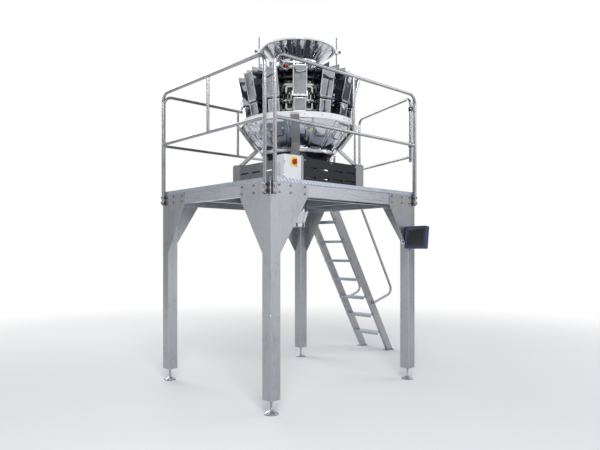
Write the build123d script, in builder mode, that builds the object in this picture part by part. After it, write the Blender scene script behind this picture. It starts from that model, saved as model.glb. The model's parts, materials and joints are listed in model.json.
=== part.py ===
from build123d import *
import math
import os

# A multihead weigher on its raised platform, with the gate, the stair and the operator panel.
# Millimetres, +Z up. The origin is on the floor, under the middle of the front left leg's foot.
# +X runs along the platform's front edge and +Y along its left edge.
# Radial profiles of the weigher are drawn as (distance from its axis, height above the floor).

# Platform frame
platform_length = 2140
platform_width = 1920
leg_size = 120
leg_corner_r = 8
foot_height = 130
pad_r = 65
pad_height = 26
pad_rim_height = 10
pad_neck_r = 29
spindle_r = 12
nut_width = 38
nut_height = 18
beam_top = 2090
beam_height = 115
beam_depth = 60
corner_plate_t = 8
corner_plate_reach = 460
gusset_foot_z = 1450
joist_width = 50
joist_height = 90
deck_thickness = 38
plank_count = 8
plank_gap = 3
plank_sheet = 4
deck_hole_gap = 3

# Guard rails, gate and rail clamps
tube_r = 16.85
mid_tube_r = 16
rail_height = 1100
mid_rail_height = 530
rail_bend_r = 100
rail_standoff = 24
rail_end_inset = 30
side_rail_inset = 50
rail_post_drop = 148
clamp_width = 46
clamp_height = 26
clamp_lip = 5
clamp_drops = (66, 126)
slip_fit = 0.3
gate_rest_angle = 18.8
gate_end_gap = 45
gate_hinge_offset = 50
gate_bar_drop = 680
gate_stile_tail = 60
gate_bend_r = 80
hinge_block_r = 27
hinge_block_height = 40
hinge_block_drops = (570, 150)
hinge_collar_r = 24
hinge_collar_height = 14

# Access stair on the right side
stair_angle = 60
stair_back_inset = 20
stair_rail_spacing = 600
stringer_offset = 48
stringer_thickness = 40
stringer_depth = 100
stringer_head_drop = 148
stringer_top_drop = 40
stringer_foot_rise = 78
tread_count = 7
tread_depth = 190
tread_thickness = 30
tread_sheet = 4
handrail_reach = 430
handrail_level_reach = 406
handrail_end_z = 850
handrail_root_z = 720
handrail_boss_r = 25
handrail_lower_bend_r = 90

# Weigher
axis_x = 1090
axis_y = 840
head_count = 14
first_head_azimuth = 229.4
base_half = 530
pedestal_size = 130
pedestal_height = 300
base_panel_height = 290
base_panel_thickness = 25
base_slot_length = 150
base_slot_height = 18
strut_width = 90
strut_thickness = 30
strut_knee = (474, 2602)
strut_head = (668, 2864)
ring_height = 60
ring_top_z = 2900
ring_thickness = 9
chute_wall = 4
chute_top = (643, 2857)
chute_bottom = (403, 2552)
funnel_collar = 34
funnel_lap = 8
funnel_outlet_r = 110
funnel_outlet_z = 2180
funnel_outlet_length = 40
spout_outlet_r = 75
spout_outlet_z = 1730
spout_outlet_length = 50
spout_cone_top_z = 1900
spout_wall = 3
spout_flange_lap = 5
spout_flange_t = 6
housing_r = 300
housing_bottom_z = 2780
housing_top_z = 3300
top_plate_r = 470
top_plate_t = 20
spoke_width = 40
spoke_height = 34
spoke_drop = 5
drive_r = 440
drive_width = 110
drive_bottom_z = 2920

# Hoppers and their gates, as (inner radius, outer radius) at the top and at the bottom
hopper_wall = 3
feed_top_z = 3360
feed_bottom_z = 3070
feed_top_radii = (535, 700)
feed_bottom_radii = (505, 630)
feed_width = 148
weigh_top_z = 3045
weigh_bottom_z = 2905
weigh_top_radii = (470, 626)
weigh_bottom_radii = (490, 602)
weigh_width = 132
hook_thickness = 6
hook_height = 30
hook_spacing = 70
gate_pin_r = 4
gate_pin_fit = 0.15
gate_pin_offset = 8
gate_pin_drop = 1
knuckle_r = 8
lug_thickness = 4
lug_r = 10
lug_rise = 40
lug_gap = 2
flap_thickness = 4
flap_gap = 5
flap_overhang = 6

# Feeding parts on top
feeder_drive_width = 70
feeder_drive_radii = (300, 430)
feeder_drive_height = 65
pan_radii = (225, 600)
pan_inner_width = 88
pan_outer_width = 124
pan_height = 70
pan_sheet = 3
knob_r = 14
knob_length = 26
knob_radius_at = 450
knob_height_at = 50
cone_r = 250
cone_gap = 20
cone_rise = 125
cone_rim = 8
cone_stem_r = 50
infeed_top = (400, 3740)
infeed_bottom = (250, 3580)
infeed_collar = 30
infeed_wall = 3
infeed_flange_r = 418
carrier_ring_width = 24
carrier_ring_t = 12
carrier_boss_r = 22
carrier_boss_height = 44
rod_r = 8
rod_at = 442
rod_top_z = 3900
rod_foot_r = 18
rod_foot_t = 8
rod_gap_index = 3

# Control cabinet, operator panel and push buttons
cabinet_size = (220, 160, 280)
cabinet_front = 100
cabinet_corner_r = 6
isolator_height = 214
isolator_inset = 95
isolator_plate_size = 64
isolator_plate_t = 3
isolator_knob_r = 24
isolator_knob_height = 22
isolator_grip = (14, 44, 16)
isolator_gap = 1
isolator_shaft_r = 6
isolator_shaft_depth = 18
isolator_shaft_fit = 0.1
isolator_shaft_end_gap = 2
panel_size = (50, 275, 250)
panel_centre_z = 1610
panel_tilt = 7
panel_corner_r = 10
panel_leg_gap = 10
panel_pivot_gap = 40
arm_plate = (80, 8)
arm_plate_below = 84
arm_plate_above = 36
arm_size = 34
arm_drop = 55
pivot_r = 9
pivot_fit = 0.15
pivot_height = 84
pivot_ring_r = 18
pivot_ring_height = 61
button_box_size = (40, 60, 90)
button_box_z = 1583
button_box_inset = 12
button_box_corner_r = 4

# Places worked out from the sizes above
left_x = -leg_size / 2
right_x = platform_length - leg_size / 2
front_y = -leg_size / 2
back_y = platform_width - leg_size / 2
bay_x = platform_length - leg_size
bay_y = platform_width - leg_size
beam_bottom = beam_top - beam_height
deck_top = beam_top + deck_thickness
rail_top_z = deck_top + rail_height
mid_rail_z = deck_top + mid_rail_height
rail_foot_z = deck_top - rail_post_drop
head_step = 360 / head_count
pedestal_at = base_half - pedestal_size / 2
pan_floor_z = housing_top_z + top_plate_t + feeder_drive_height
spout_tube_r = funnel_outlet_r + chute_wall + slip_fit + spout_wall
deck_hole_half = spout_tube_r + deck_hole_gap
spout_flange_r = deck_hole_half * math.sqrt(2) + spout_flange_lap
stair_near_rail_y = back_y - stair_back_inset - stair_rail_spacing
gate_length = stair_near_rail_y - gate_end_gap - front_y - rail_end_inset - gate_hinge_offset
vertical = Vector(0, 0, 1)

os.makedirs("parts", exist_ok=True)


def keep(name, part):
    """Labels a finished piece and writes it to its own file."""
    part.label = name
    export_step(part, f"parts/{name}.step")


def upright(origin, direction):
    """A vertical plane through origin: its x runs along a level direction and its y runs up."""
    level = Vector(*direction)
    return Plane(origin=origin, x_dir=level, z_dir=level.cross(vertical))


def azimuth_direction(azimuth):
    """The level unit vector that points to an azimuth in degrees, counted from +X."""
    angle = math.radians(azimuth)
    return (math.cos(angle), math.sin(angle), 0)


def radial_plane(azimuth):
    """The vertical plane through the weigher's axis at an azimuth: x is the radius and y the height."""
    return upright((axis_x, axis_y, 0), azimuth_direction(azimuth))


def head_azimuths():
    """The azimuths of the weighing heads."""
    return [first_head_azimuth + index * head_step for index in range(head_count)]


def spoke_azimuths():
    """The gap between two heads that lies nearest each corner of the base."""
    gaps = [azimuth + head_step / 2 for azimuth in head_azimuths()]
    corners = (45, 135, 225, 315)
    return [min(gaps, key=lambda gap: abs((gap - corner + 180) % 360 - 180)) for corner in corners]


def radius_on_line(height, low, high):
    """The radius at a height on the line through two (radius, height) points."""
    return low[0] + (height - low[1]) * (high[0] - low[0]) / (high[1] - low[1])


def block(low, high):
    """Adds a rectangular block between two corners to the part being built."""
    size = [far - near for near, far in zip(low, high)]
    with Locations(low):
        Box(*size, align=Align.MIN)


def rod(start, end, radius, mode=Mode.ADD):
    """Adds a round bar between two points to the part being built, or takes it away."""
    run = Vector(*end) - Vector(*start)
    with Locations(Plane(origin=start, z_dir=run)):
        Cylinder(radius, run.length, align=(Align.CENTER, Align.CENTER, Align.MIN), mode=mode)


def leg(x, y, inward_x, inward_y):
    """A square post with a gusset and a corner plate flush with each outer face."""
    reach = corner_plate_reach - leg_size / 2
    outline = [
        (0, gusset_foot_z),
        (leg_size / 2, gusset_foot_z),
        (reach, beam_bottom),
        (reach, beam_top),
        (0, beam_top),
    ]
    faces = [
        ((inward_x, 0, 0), (0, inward_y, 0)),
        ((0, inward_y, 0), (inward_x, 0, 0)),
    ]
    with BuildPart() as post:
        with BuildSketch(Plane.XY.offset(foot_height)):
            with Locations((x, y)):
                RectangleRounded(leg_size, leg_size, leg_corner_r)
        extrude(amount=beam_top - foot_height)
        for along, inward in faces:
            outer = Vector(x, y, 0) - Vector(*inward) * (leg_size / 2)
            plane = upright(outer, along)
            with BuildSketch(plane):
                with BuildLine():
                    Polyline(*outline, close=True)
                make_face()
            extrude(amount=corner_plate_t * plane.z_dir.dot(Vector(*inward)))
    return post.part


def levelling_feet():
    """A ribbed round pad, a spindle and a lock nut under each leg."""
    with BuildPart() as feet:
        for x in (0, bay_x):
            for y in (0, bay_y):
                with BuildSketch(Plane(origin=(x, y, 0), x_dir=(1, 0, 0), z_dir=(0, -1, 0))):
                    with BuildLine():
                        Polyline(
                            (0, 0),
                            (pad_r, 0),
                            (pad_r, pad_rim_height),
                            (pad_neck_r, pad_height),
                            (0, pad_height),
                            close=True,
                        )
                    make_face()
                revolve(axis=Axis((x, y, 0), (0, 0, 1)))
                rod((x, y, 0), (x, y, foot_height), spindle_r)
                with BuildSketch(Plane.XY.offset(foot_height - nut_height)):
                    with Locations((x, y)):
                        RegularPolygon(nut_width / 2, 6, major_radius=False)
                extrude(amount=nut_height)
    return feet.part


def beam(low, high):
    """A closed box section between two legs."""
    with BuildPart() as bar:
        block(low, high)
    return bar.part


def deck_joists():
    """Two joists and two trimmers that carry the weigher's base between the beams."""
    near_x = left_x + corner_plate_t + beam_depth
    far_x = right_x - corner_plate_t - beam_depth
    low = beam_top - joist_height
    half = joist_width / 2
    with BuildPart() as joists:
        for y in (axis_y - pedestal_at, axis_y + pedestal_at):
            block((near_x, y - half, low), (far_x, y + half, beam_top))
        for x in (axis_x - pedestal_at, axis_x + pedestal_at):
            block(
                (x - half, axis_y - pedestal_at, low),
                (x + half, axis_y + pedestal_at, beam_top),
            )
    return joists.part


def deck_planks():
    """Channel planks side by side along Y, with a square hole for the spout."""
    pitch = platform_length / plank_count
    with BuildPart() as planks:
        for index in range(plank_count):
            low_x = left_x + index * pitch + plank_gap / 2
            high_x = low_x + pitch - plank_gap
            inner = deck_top - plank_sheet
            with BuildSketch(upright((0, front_y, 0), (1, 0, 0))):
                with BuildLine():
                    Polyline(
                        (low_x, beam_top),
                        (low_x, deck_top),
                        (high_x, deck_top),
                        (high_x, beam_top),
                        (high_x - plank_sheet, beam_top),
                        (high_x - plank_sheet, inner),
                        (low_x + plank_sheet, inner),
                        (low_x + plank_sheet, beam_top),
                        close=True,
                    )
                make_face()
            extrude(amount=-platform_width)
        with Locations((axis_x, axis_y, deck_top)):
            Box(2 * deck_hole_half, 2 * deck_hole_half, 2 * deck_thickness, mode=Mode.SUBTRACT)
    return planks.part


def guardrail(start, end):
    """A rail bent down into a post at each end, with a mid rail and one short upright."""
    middle = [(a + b) / 2 for a, b in zip(start, end)]
    with BuildPart() as rail:
        with BuildLine() as path:
            FilletPolyline(
                (*start, rail_foot_z),
                (*start, rail_top_z),
                (*end, rail_top_z),
                (*end, rail_foot_z),
                radius=rail_bend_r,
            )
        with BuildSketch(Plane(origin=path.line @ 0, z_dir=path.line % 0)):
            Circle(tube_r)
        sweep()
        rod((*start, mid_rail_z), (*end, mid_rail_z), mid_tube_r)
        rod((*middle, mid_rail_z), (*middle, rail_top_z), mid_tube_r)
    return rail.part


def rail_posts():
    """Each post that stands on the platform's side: its x and y, and the way out of the face."""
    left_out = left_x - rail_standoff
    right_out = right_x + rail_standoff
    front_out = front_y - rail_standoff
    back_out = back_y + rail_standoff
    return {
        "left": [(left_out, front_y + side_rail_inset), (left_out, back_y - side_rail_inset)],
        "front": [(left_x + rail_end_inset, front_out), (right_x - rail_end_inset, front_out)],
        "back": [(left_x + rail_end_inset, back_out), (right_x - rail_end_inset, back_out)],
        "gate": [(right_out, front_y + rail_end_inset)],
        "stair": [
            (right_out, stair_near_rail_y),
            (right_out, stair_near_rail_y + stair_rail_spacing),
        ],
    }


def side_face_x(y):
    """The x of the right side's outer face: the corner plates stand proud of the beam."""
    on_plate = y < front_y + corner_plate_reach or y > back_y - corner_plate_reach
    return right_x if on_plate else right_x - corner_plate_t


def rail_clamps():
    """Two clamps round the foot of each post, seated on the platform's side."""
    posts = rail_posts()
    outward = {"left": (-1, 0), "front": (0, -1), "back": (0, 1), "gate": (1, 0), "stair": (1, 0)}
    with BuildPart() as clamps:
        for side, places in posts.items():
            out_x, out_y = outward[side]
            for x, y in places:
                seat = rail_standoff
                if side == "stair":
                    seat = x - side_face_x(y)
                lip = tube_r + clamp_lip
                half = clamp_width / 2
                near = (x - out_x * seat - out_y * half, y - out_y * seat - out_x * half)
                far = (x + out_x * lip + out_y * half, y + out_y * lip + out_x * half)
                for drop in clamp_drops:
                    low = [min(a, b) for a, b in zip(near, far)]
                    high = [max(a, b) for a, b in zip(near, far)]
                    base = deck_top - drop - clamp_height / 2
                    block((*low, base), (*high, base + clamp_height))
                    rod((x, y, base), (x, y, base + clamp_height), tube_r + slip_fit, Mode.SUBTRACT)
    return clamps.part


def gate_hinge():
    """The x and y of the gate's hinge axis."""
    x, y = rail_posts()["gate"][0]
    return x, y + gate_hinge_offset


def gate_post():
    """The post at the front right corner, with two blocks that hold the gate's stile."""
    x, y = rail_posts()["gate"][0]
    hinge_x, hinge_y = gate_hinge()
    with BuildPart() as post:
        rod((x, y, rail_foot_z), (x, y, rail_top_z), tube_r)
        for drop in hinge_block_drops:
            with BuildSketch(Plane.XY.offset(rail_top_z - drop)):
                with Locations((x, y), (hinge_x, hinge_y)):
                    Circle(hinge_block_r)
                with Locations((x, (y + hinge_y) / 2)):
                    Rectangle(2 * hinge_block_r, hinge_y - y)
                with Locations((hinge_x, hinge_y)):
                    Circle(tube_r + slip_fit, mode=Mode.SUBTRACT)
            extrude(amount=hinge_block_height)
    return post.part


def access_gate():
    """The gate, ajar: a bent frame whose stile turns in the blocks of its post."""
    hinge_x, hinge_y = gate_hinge()
    along = azimuth_direction(90 - gate_rest_angle)
    low_z = rail_top_z - gate_bar_drop
    block_top = rail_top_z - hinge_block_drops[0] + hinge_block_height
    collar_z = block_top + slip_fit

    def at(distance, height):
        return (hinge_x + along[0] * distance, hinge_y + along[1] * distance, height)

    with BuildPart() as gate:
        with BuildLine() as path:
            FilletPolyline(
                at(0, low_z - gate_stile_tail),
                at(0, rail_top_z),
                at(gate_length, rail_top_z),
                at(gate_length, low_z),
                at(gate_length / 2, low_z),
                radius=gate_bend_r,
            )
        with BuildSketch(Plane(origin=path.line @ 0, z_dir=path.line % 0)):
            Circle(tube_r)
        sweep()
        rod(at(gate_length / 2, low_z), at(0, low_z), mid_tube_r)
        rod(at(0, collar_z), at(0, collar_z + hinge_collar_height), hinge_collar_r)
    return gate.part


def stringer_edges():
    """The lower and upper edge of a stringer as functions from height to x."""
    slope = math.tan(math.radians(stair_angle))
    level_depth = stringer_depth / math.sin(math.radians(stair_angle))
    foot_x = right_x + (deck_top - stringer_foot_rise) / slope

    def lower(z):
        return foot_x - z / slope

    def upper(z):
        return foot_x + level_depth - z / slope

    return lower, upper


def stringer_places():
    """The y of the near and the far stringer's middle."""
    near = stair_near_rail_y + stringer_offset
    far = stair_near_rail_y + stair_rail_spacing - stringer_offset
    return near, far


def stair_stringers():
    """Two sloping side plates from the floor to the platform's right side."""
    lower, upper = stringer_edges()
    head_low = deck_top - stringer_head_drop
    head_high = deck_top - stringer_top_drop
    with BuildPart() as stringers:
        for y in stringer_places():
            face = side_face_x(y)
            with BuildSketch(upright((0, y, 0), (1, 0, 0))):
                with BuildLine():
                    Polyline(
                        (lower(0), 0),
                        (upper(0), 0),
                        (upper(head_high), head_high),
                        (face, head_high),
                        (face, head_low),
                        (lower(head_low), head_low),
                        close=True,
                    )
                make_face()
            extrude(amount=stringer_thickness / 2, both=True)
    return stringers.part


def stair_treads():
    """Channel treads between the stringers, one rise apart up to the deck."""
    lower, upper = stringer_edges()
    near, far = stringer_places()
    rise = deck_top / (tread_count + 1)
    start_y = near + stringer_thickness / 2
    width = far - near - stringer_thickness
    with BuildPart() as treads:
        for index in range(1, tread_count + 1):
            top = index * rise
            middle = (lower(top) + upper(top)) / 2
            low_x = middle - tread_depth / 2
            high_x = middle + tread_depth / 2
            with BuildSketch(upright((0, start_y, 0), (1, 0, 0))):
                with BuildLine():
                    Polyline(
                        (low_x, top - tread_thickness),
                        (low_x, top),
                        (high_x, top),
                        (high_x, top - tread_thickness),
                        (high_x - tread_sheet, top - tread_thickness),
                        (high_x - tread_sheet, top - tread_sheet),
                        (low_x + tread_sheet, top - tread_sheet),
                        (low_x + tread_sheet, top - tread_thickness),
                        close=True,
                    )
                make_face()
            extrude(amount=-width)
    return treads.part


def handrail(y, stringer_side):
    """A bent tube from the stringer, up the stair and down the platform's side."""
    lower, upper = stringer_edges()
    slope = math.tan(math.radians(stair_angle))
    root_x = (lower(handrail_root_z) + upper(handrail_root_z)) / 2
    end_x = root_x + handrail_reach
    post_x = right_x + rail_standoff
    turn_x = post_x + handrail_level_reach
    turn_z = handrail_end_z + (end_x - turn_x) * slope
    with BuildPart() as rail:
        with BuildLine() as path:
            FilletPolyline(
                (root_x, y, handrail_root_z),
                (end_x, y, handrail_end_z),
                (turn_x, y, turn_z),
                (turn_x, y, rail_top_z),
                (post_x, y, rail_top_z),
                (post_x, y, rail_foot_z),
                radius=handrail_lower_bend_r,
            )
        with BuildSketch(Plane(origin=path.line @ 0, z_dir=path.line % 0)):
            Circle(tube_r)
        sweep()
        rod((root_x, y, handrail_root_z), (root_x, stringer_side, handrail_root_z), handrail_boss_r)
    return rail.part


def stair_handrails():
    """The near and the far handrail."""
    near, far = stringer_places()
    half = stringer_thickness / 2
    far_y = stair_near_rail_y + stair_rail_spacing
    with BuildPart() as rails:
        add(handrail(stair_near_rail_y, near - half))
        add(handrail(far_y, far + half))
    return rails.part


def base_pedestals():
    """Four square pedestals at the corners of the weigher's base."""
    with BuildPart() as pedestals:
        with BuildSketch(Plane.XY.offset(deck_top)):
            with Locations((axis_x, axis_y)):
                with GridLocations(2 * pedestal_at, 2 * pedestal_at, 2, 2):
                    RectangleRounded(pedestal_size, pedestal_size, leg_corner_r)
        extrude(amount=pedestal_height)
    return pedestals.part


def base_panels():
    """Four slotted panels that close the sides of the base between the pedestals."""
    length = 2 * (base_half - pedestal_size)
    with BuildPart() as panels:
        for quarter in range(4):
            direction = azimuth_direction(90 * quarter)
            side = azimuth_direction(90 * quarter - 90)
            origin = Vector(axis_x, axis_y, deck_top) + Vector(*side) * base_half
            with BuildSketch(upright(origin, direction)):
                with Locations((0, base_panel_height / 2)):
                    Rectangle(length, base_panel_height)
                    with GridLocations(length / 4, base_panel_height / 3, 4, 2):
                        SlotOverall(base_slot_length, base_slot_height, mode=Mode.SUBTRACT)
            extrude(amount=-base_panel_thickness)
    return panels.part


def support_struts():
    """Four kneed legs from the pedestals, in round the waist of the chutes and out to the ring."""
    foot_r = pedestal_at * math.sqrt(2)
    foot_z = deck_top + pedestal_height
    with BuildPart() as struts:
        for azimuth in (45, 135, 225, 315):
            with BuildSketch(radial_plane(azimuth)):
                with BuildLine():
                    line = Polyline(
                        (foot_r, foot_z - strut_thickness),
                        (foot_r, foot_z),
                        strut_knee,
                        strut_head,
                    )
                    offset(line, amount=strut_thickness / 2, side=Side.BOTH)
                make_face()
            extrude(amount=strut_width / 2, both=True)
        with BuildSketch(Plane.XY.offset(foot_z)):
            with Locations((axis_x, axis_y)):
                Rectangle(4 * base_half, 4 * base_half)
        extrude(amount=-pedestal_height, mode=Mode.SUBTRACT)
        below_ring = (axis_x, axis_y, ring_top_z - ring_height - slip_fit)
        above_ring = (axis_x, axis_y, ring_top_z + ring_height)
        ring_outer_r = chute_top[0] + slip_fit + ring_thickness
        rod(below_ring, above_ring, ring_outer_r + slip_fit, Mode.SUBTRACT)
    return struts.part


def chute_ring():
    """The round band that carries the chutes, the arms of the housing and the struts."""
    inner = chute_top[0] + slip_fit
    with BuildPart() as ring:
        with BuildSketch(Plane.XY.offset(ring_top_z - ring_height)):
            with Locations((axis_x, axis_y)):
                Circle(inner + ring_thickness)
                Circle(inner, mode=Mode.SUBTRACT)
        extrude(amount=ring_height)
    return ring.part


def head_polygon_rotation():
    """Turns a polygon so that the middle of a side faces each head."""
    return first_head_azimuth + head_step / 2


def discharge_chutes():
    """The faceted cone of chutes under the heads, one flat to each head."""
    turn = head_polygon_rotation()
    slant = (chute_top[0] - chute_bottom[0]) / (chute_top[1] - chute_bottom[1])
    level_wall = chute_wall * math.hypot(1, slant)
    with BuildPart() as chutes:
        for radius, height in (chute_bottom, chute_top):
            with BuildSketch(Plane.XY.offset(height)):
                with Locations((axis_x, axis_y)):
                    RegularPolygon(radius, head_count, rotation=turn)
        loft(ruled=True)
        for radius, height in (chute_bottom, chute_top):
            with BuildSketch(Plane.XY.offset(height)):
                with Locations((axis_x, axis_y)):
                    RegularPolygon(radius - level_wall, head_count, rotation=turn)
        loft(ruled=True, mode=Mode.SUBTRACT)
    return chutes.part


def turned_shell(outline):
    """A piece turned about the weigher's axis from a closed (radius, height) outline."""
    with BuildPart() as shell:
        with BuildSketch(radial_plane(0)):
            with BuildLine():
                Polyline(*outline, close=True)
            make_face()
        revolve(axis=Axis((axis_x, axis_y, 0), (0, 0, 1)))
    return shell.part


def collecting_funnel():
    """The funnel that gathers what the chutes drop, with a collar round their lower edge."""
    top = chute_bottom[1] + funnel_lap
    inner = radius_on_line(top, chute_bottom, chute_top) + slip_fit
    bend = top - funnel_collar
    outlet_low = funnel_outlet_z - funnel_outlet_length
    return turned_shell([
        (inner, top),
        (inner + chute_wall, top),
        (inner + chute_wall, bend),
        (funnel_outlet_r + chute_wall, funnel_outlet_z),
        (funnel_outlet_r + chute_wall, outlet_low),
        (funnel_outlet_r, outlet_low),
        (funnel_outlet_r, funnel_outlet_z),
        (inner, bend),
    ])


def discharge_spout():
    """The drop tube through the deck, with a flange on the deck and a narrower round outlet."""
    tube_outer = spout_tube_r
    tube_inner = tube_outer - spout_wall
    tube_top = funnel_outlet_z - slip_fit
    flange_top = deck_top + spout_flange_t
    cone_foot = spout_outlet_z + spout_outlet_length
    outlet_outer = spout_outlet_r + spout_wall
    return turned_shell([
        (tube_inner, tube_top),
        (tube_outer, tube_top),
        (tube_outer, flange_top),
        (spout_flange_r, flange_top),
        (spout_flange_r, deck_top),
        (tube_outer, deck_top),
        (tube_outer, spout_cone_top_z),
        (outlet_outer, cone_foot),
        (outlet_outer, spout_outlet_z),
        (spout_outlet_r, spout_outlet_z),
        (spout_outlet_r, cone_foot),
        (tube_inner, spout_cone_top_z),
    ])


def central_housing():
    """The many-sided drive housing with its top plate and four arms out to the ring."""
    arm_high = ring_top_z - spoke_drop
    arm_low = arm_high - spoke_height
    ring_inner = chute_top[0] + slip_fit
    with BuildPart() as housing:
        for azimuth in spoke_azimuths():
            with BuildSketch(radial_plane(azimuth)):
                with BuildLine():
                    Polyline(
                        (0, arm_low),
                        (ring_inner + spoke_width, arm_low),
                        (ring_inner + spoke_width, arm_high),
                        (0, arm_high),
                        close=True,
                    )
                make_face()
            extrude(amount=spoke_width / 2, both=True)
        with Locations((axis_x, axis_y, arm_low)):
            Cylinder(
                ring_inner - slip_fit,
                spoke_height,
                align=(Align.CENTER, Align.CENTER, Align.MIN),
                mode=Mode.INTERSECT,
            )
        with BuildSketch(Plane.XY.offset(housing_bottom_z)):
            with Locations((axis_x, axis_y)):
                turn = head_polygon_rotation()
                RegularPolygon(housing_r, head_count, major_radius=False, rotation=turn)
        extrude(amount=housing_top_z - housing_bottom_z)
        with BuildSketch(Plane.XY.offset(housing_top_z)):
            with Locations((axis_x, axis_y)):
                Circle(top_plate_r)
        extrude(amount=top_plate_t)
    return housing.part


def radial_boxes(inner, outer, width, low, high):
    """One block behind each head, from an inner to an outer radius."""
    with BuildPart() as boxes:
        for azimuth in head_azimuths():
            with BuildSketch(radial_plane(azimuth)):
                with BuildLine():
                    Polyline((inner, low), (outer, low), (outer, high), (inner, high), close=True)
                make_face()
            extrude(amount=width / 2, both=True)
    return boxes.part


def gate_pin_place(bottom_radii, bottom_z):
    """The radius and height of a hopper gate's pin, just outside the hopper's front edge."""
    flap_top = bottom_z - flap_gap
    return bottom_radii[1] + gate_pin_offset, flap_top - flap_thickness / 2 - gate_pin_drop


def hopper(azimuth, width, top_z, bottom_z, top_radii, bottom_radii):
    """An open hopper with two hooks at its back and a pin between lugs at its front foot."""
    low_in, low_out = ((radius, bottom_z) for radius in bottom_radii)
    high_in, high_out = ((radius, top_z) for radius in top_radii)
    past_low = bottom_z - hook_height
    past_high = top_z + hook_height
    pin_r_at, pin_z = gate_pin_place(bottom_radii, bottom_z)
    hook_low = (top_z + bottom_z - hook_height) / 2
    hook_high = hook_low + hook_height
    middle_r = (bottom_radii[0] + bottom_radii[1]) / 2
    plane = radial_plane(azimuth)
    with BuildPart() as shell:
        with BuildSketch(plane):
            with BuildLine():
                Polyline(low_in, low_out, high_out, high_in, close=True)
            make_face()
        extrude(amount=width / 2, both=True)
        for side in (-1, 1):
            with BuildSketch(plane.offset(side * hook_spacing / 2)):
                with BuildLine():
                    Polyline(
                        (drive_r, hook_low),
                        (middle_r, hook_low),
                        (middle_r, hook_high),
                        (drive_r, hook_high),
                        close=True,
                    )
                make_face()
            extrude(amount=hook_thickness / 2, both=True)
        with BuildSketch(plane):
            with BuildLine():
                Polyline(
                    (radius_on_line(past_low, low_in, high_in) + hopper_wall, past_low),
                    (radius_on_line(past_low, low_out, high_out) - hopper_wall, past_low),
                    (radius_on_line(past_high, low_out, high_out) - hopper_wall, past_high),
                    (radius_on_line(past_high, low_in, high_in) + hopper_wall, past_high),
                    close=True,
                )
            make_face()
        extrude(amount=width / 2 - hopper_wall, both=True, mode=Mode.SUBTRACT)
        for side in (-1, 1):
            with BuildSketch(plane.offset(side * (width + lug_thickness) / 2)):
                with Locations((pin_r_at, pin_z)):
                    Circle(lug_r)
                with BuildLine():
                    Polyline(
                        (pin_r_at - 2 * lug_r, bottom_z + lug_rise),
                        (pin_r_at - 2 * lug_r, bottom_z),
                        (pin_r_at - lug_r, pin_z),
                        (pin_r_at + lug_r, pin_z),
                        (radius_on_line(bottom_z + lug_rise, low_out, high_out), bottom_z + lug_rise),
                        close=True,
                    )
                make_face()
            extrude(amount=lug_thickness / 2, both=True)
        with BuildSketch(plane):
            with Locations((pin_r_at, pin_z)):
                Circle(gate_pin_r)
        extrude(amount=width / 2 + lug_thickness, both=True)
    return shell.part


def hopper_gate(azimuth, width, bottom_z, bottom_radii):
    """A flap under a hopper, with a knuckle that turns on the hopper's pin."""
    pin_r_at, pin_z = gate_pin_place(bottom_radii, bottom_z)
    flap_top = bottom_z - flap_gap
    flap_low = flap_top - flap_thickness
    inner = bottom_radii[0] - flap_overhang
    plane = radial_plane(azimuth)
    with BuildPart() as flap:
        with BuildSketch(plane):
            with BuildLine():
                Polyline(
                    (inner, flap_low),
                    (pin_r_at, flap_low),
                    (pin_r_at, flap_top),
                    (inner, flap_top),
                    close=True,
                )
            make_face()
            with Locations((pin_r_at, pin_z)):
                Circle(knuckle_r)
                Circle(gate_pin_r + gate_pin_fit, mode=Mode.SUBTRACT)
        extrude(amount=width / 2 - lug_gap, both=True)
    return flap.part


feed_shape = (feed_width, feed_top_z, feed_bottom_z, feed_top_radii, feed_bottom_radii)
weigh_shape = (weigh_width, weigh_top_z, weigh_bottom_z, weigh_top_radii, weigh_bottom_radii)


def feed_hoppers():
    """The upper ring of hoppers, which lean outwards."""
    with BuildPart() as hoppers:
        for azimuth in head_azimuths():
            add(hopper(azimuth, *feed_shape))
    return hoppers.part


def feed_gates():
    """The flaps of the upper hoppers, closed."""
    with BuildPart() as gates:
        for azimuth in head_azimuths():
            add(hopper_gate(azimuth, feed_width, feed_bottom_z, feed_bottom_radii))
    return gates.part


def weigh_hoppers():
    """The lower ring of hoppers, which hang on the load cells."""
    with BuildPart() as hoppers:
        for azimuth in head_azimuths():
            add(hopper(azimuth, *weigh_shape))
    return hoppers.part


def feeder_pans():
    """A ring of vibrating troughs, open at the top and at the outer end."""
    inner, outer = pan_radii
    half_in = pan_inner_width / 2
    half_out = pan_outer_width / 2
    grow = (half_out - half_in) / (outer - inner)
    with BuildPart() as pans:
        for azimuth in head_azimuths():
            out = azimuth_direction(azimuth)
            floor = Plane(origin=(axis_x, axis_y, pan_floor_z), x_dir=out, z_dir=(0, 0, 1))
            with BuildSketch(floor):
                with BuildLine():
                    Polyline(
                        (inner, half_in),
                        (outer, half_out),
                        (outer, -half_out),
                        (inner, -half_in),
                        close=True,
                    )
                make_face()
            extrude(amount=pan_height)
            with BuildSketch(floor.offset(pan_sheet)):
                with BuildLine():
                    start = inner + pan_sheet
                    end = outer + pan_sheet
                    near = half_in + grow * pan_sheet - pan_sheet
                    far = near + grow * (end - start)
                    Polyline((start, near), (end, far), (end, -far), (start, -near), close=True)
                make_face()
            extrude(amount=pan_height, mode=Mode.SUBTRACT)
    return pans.part


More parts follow.
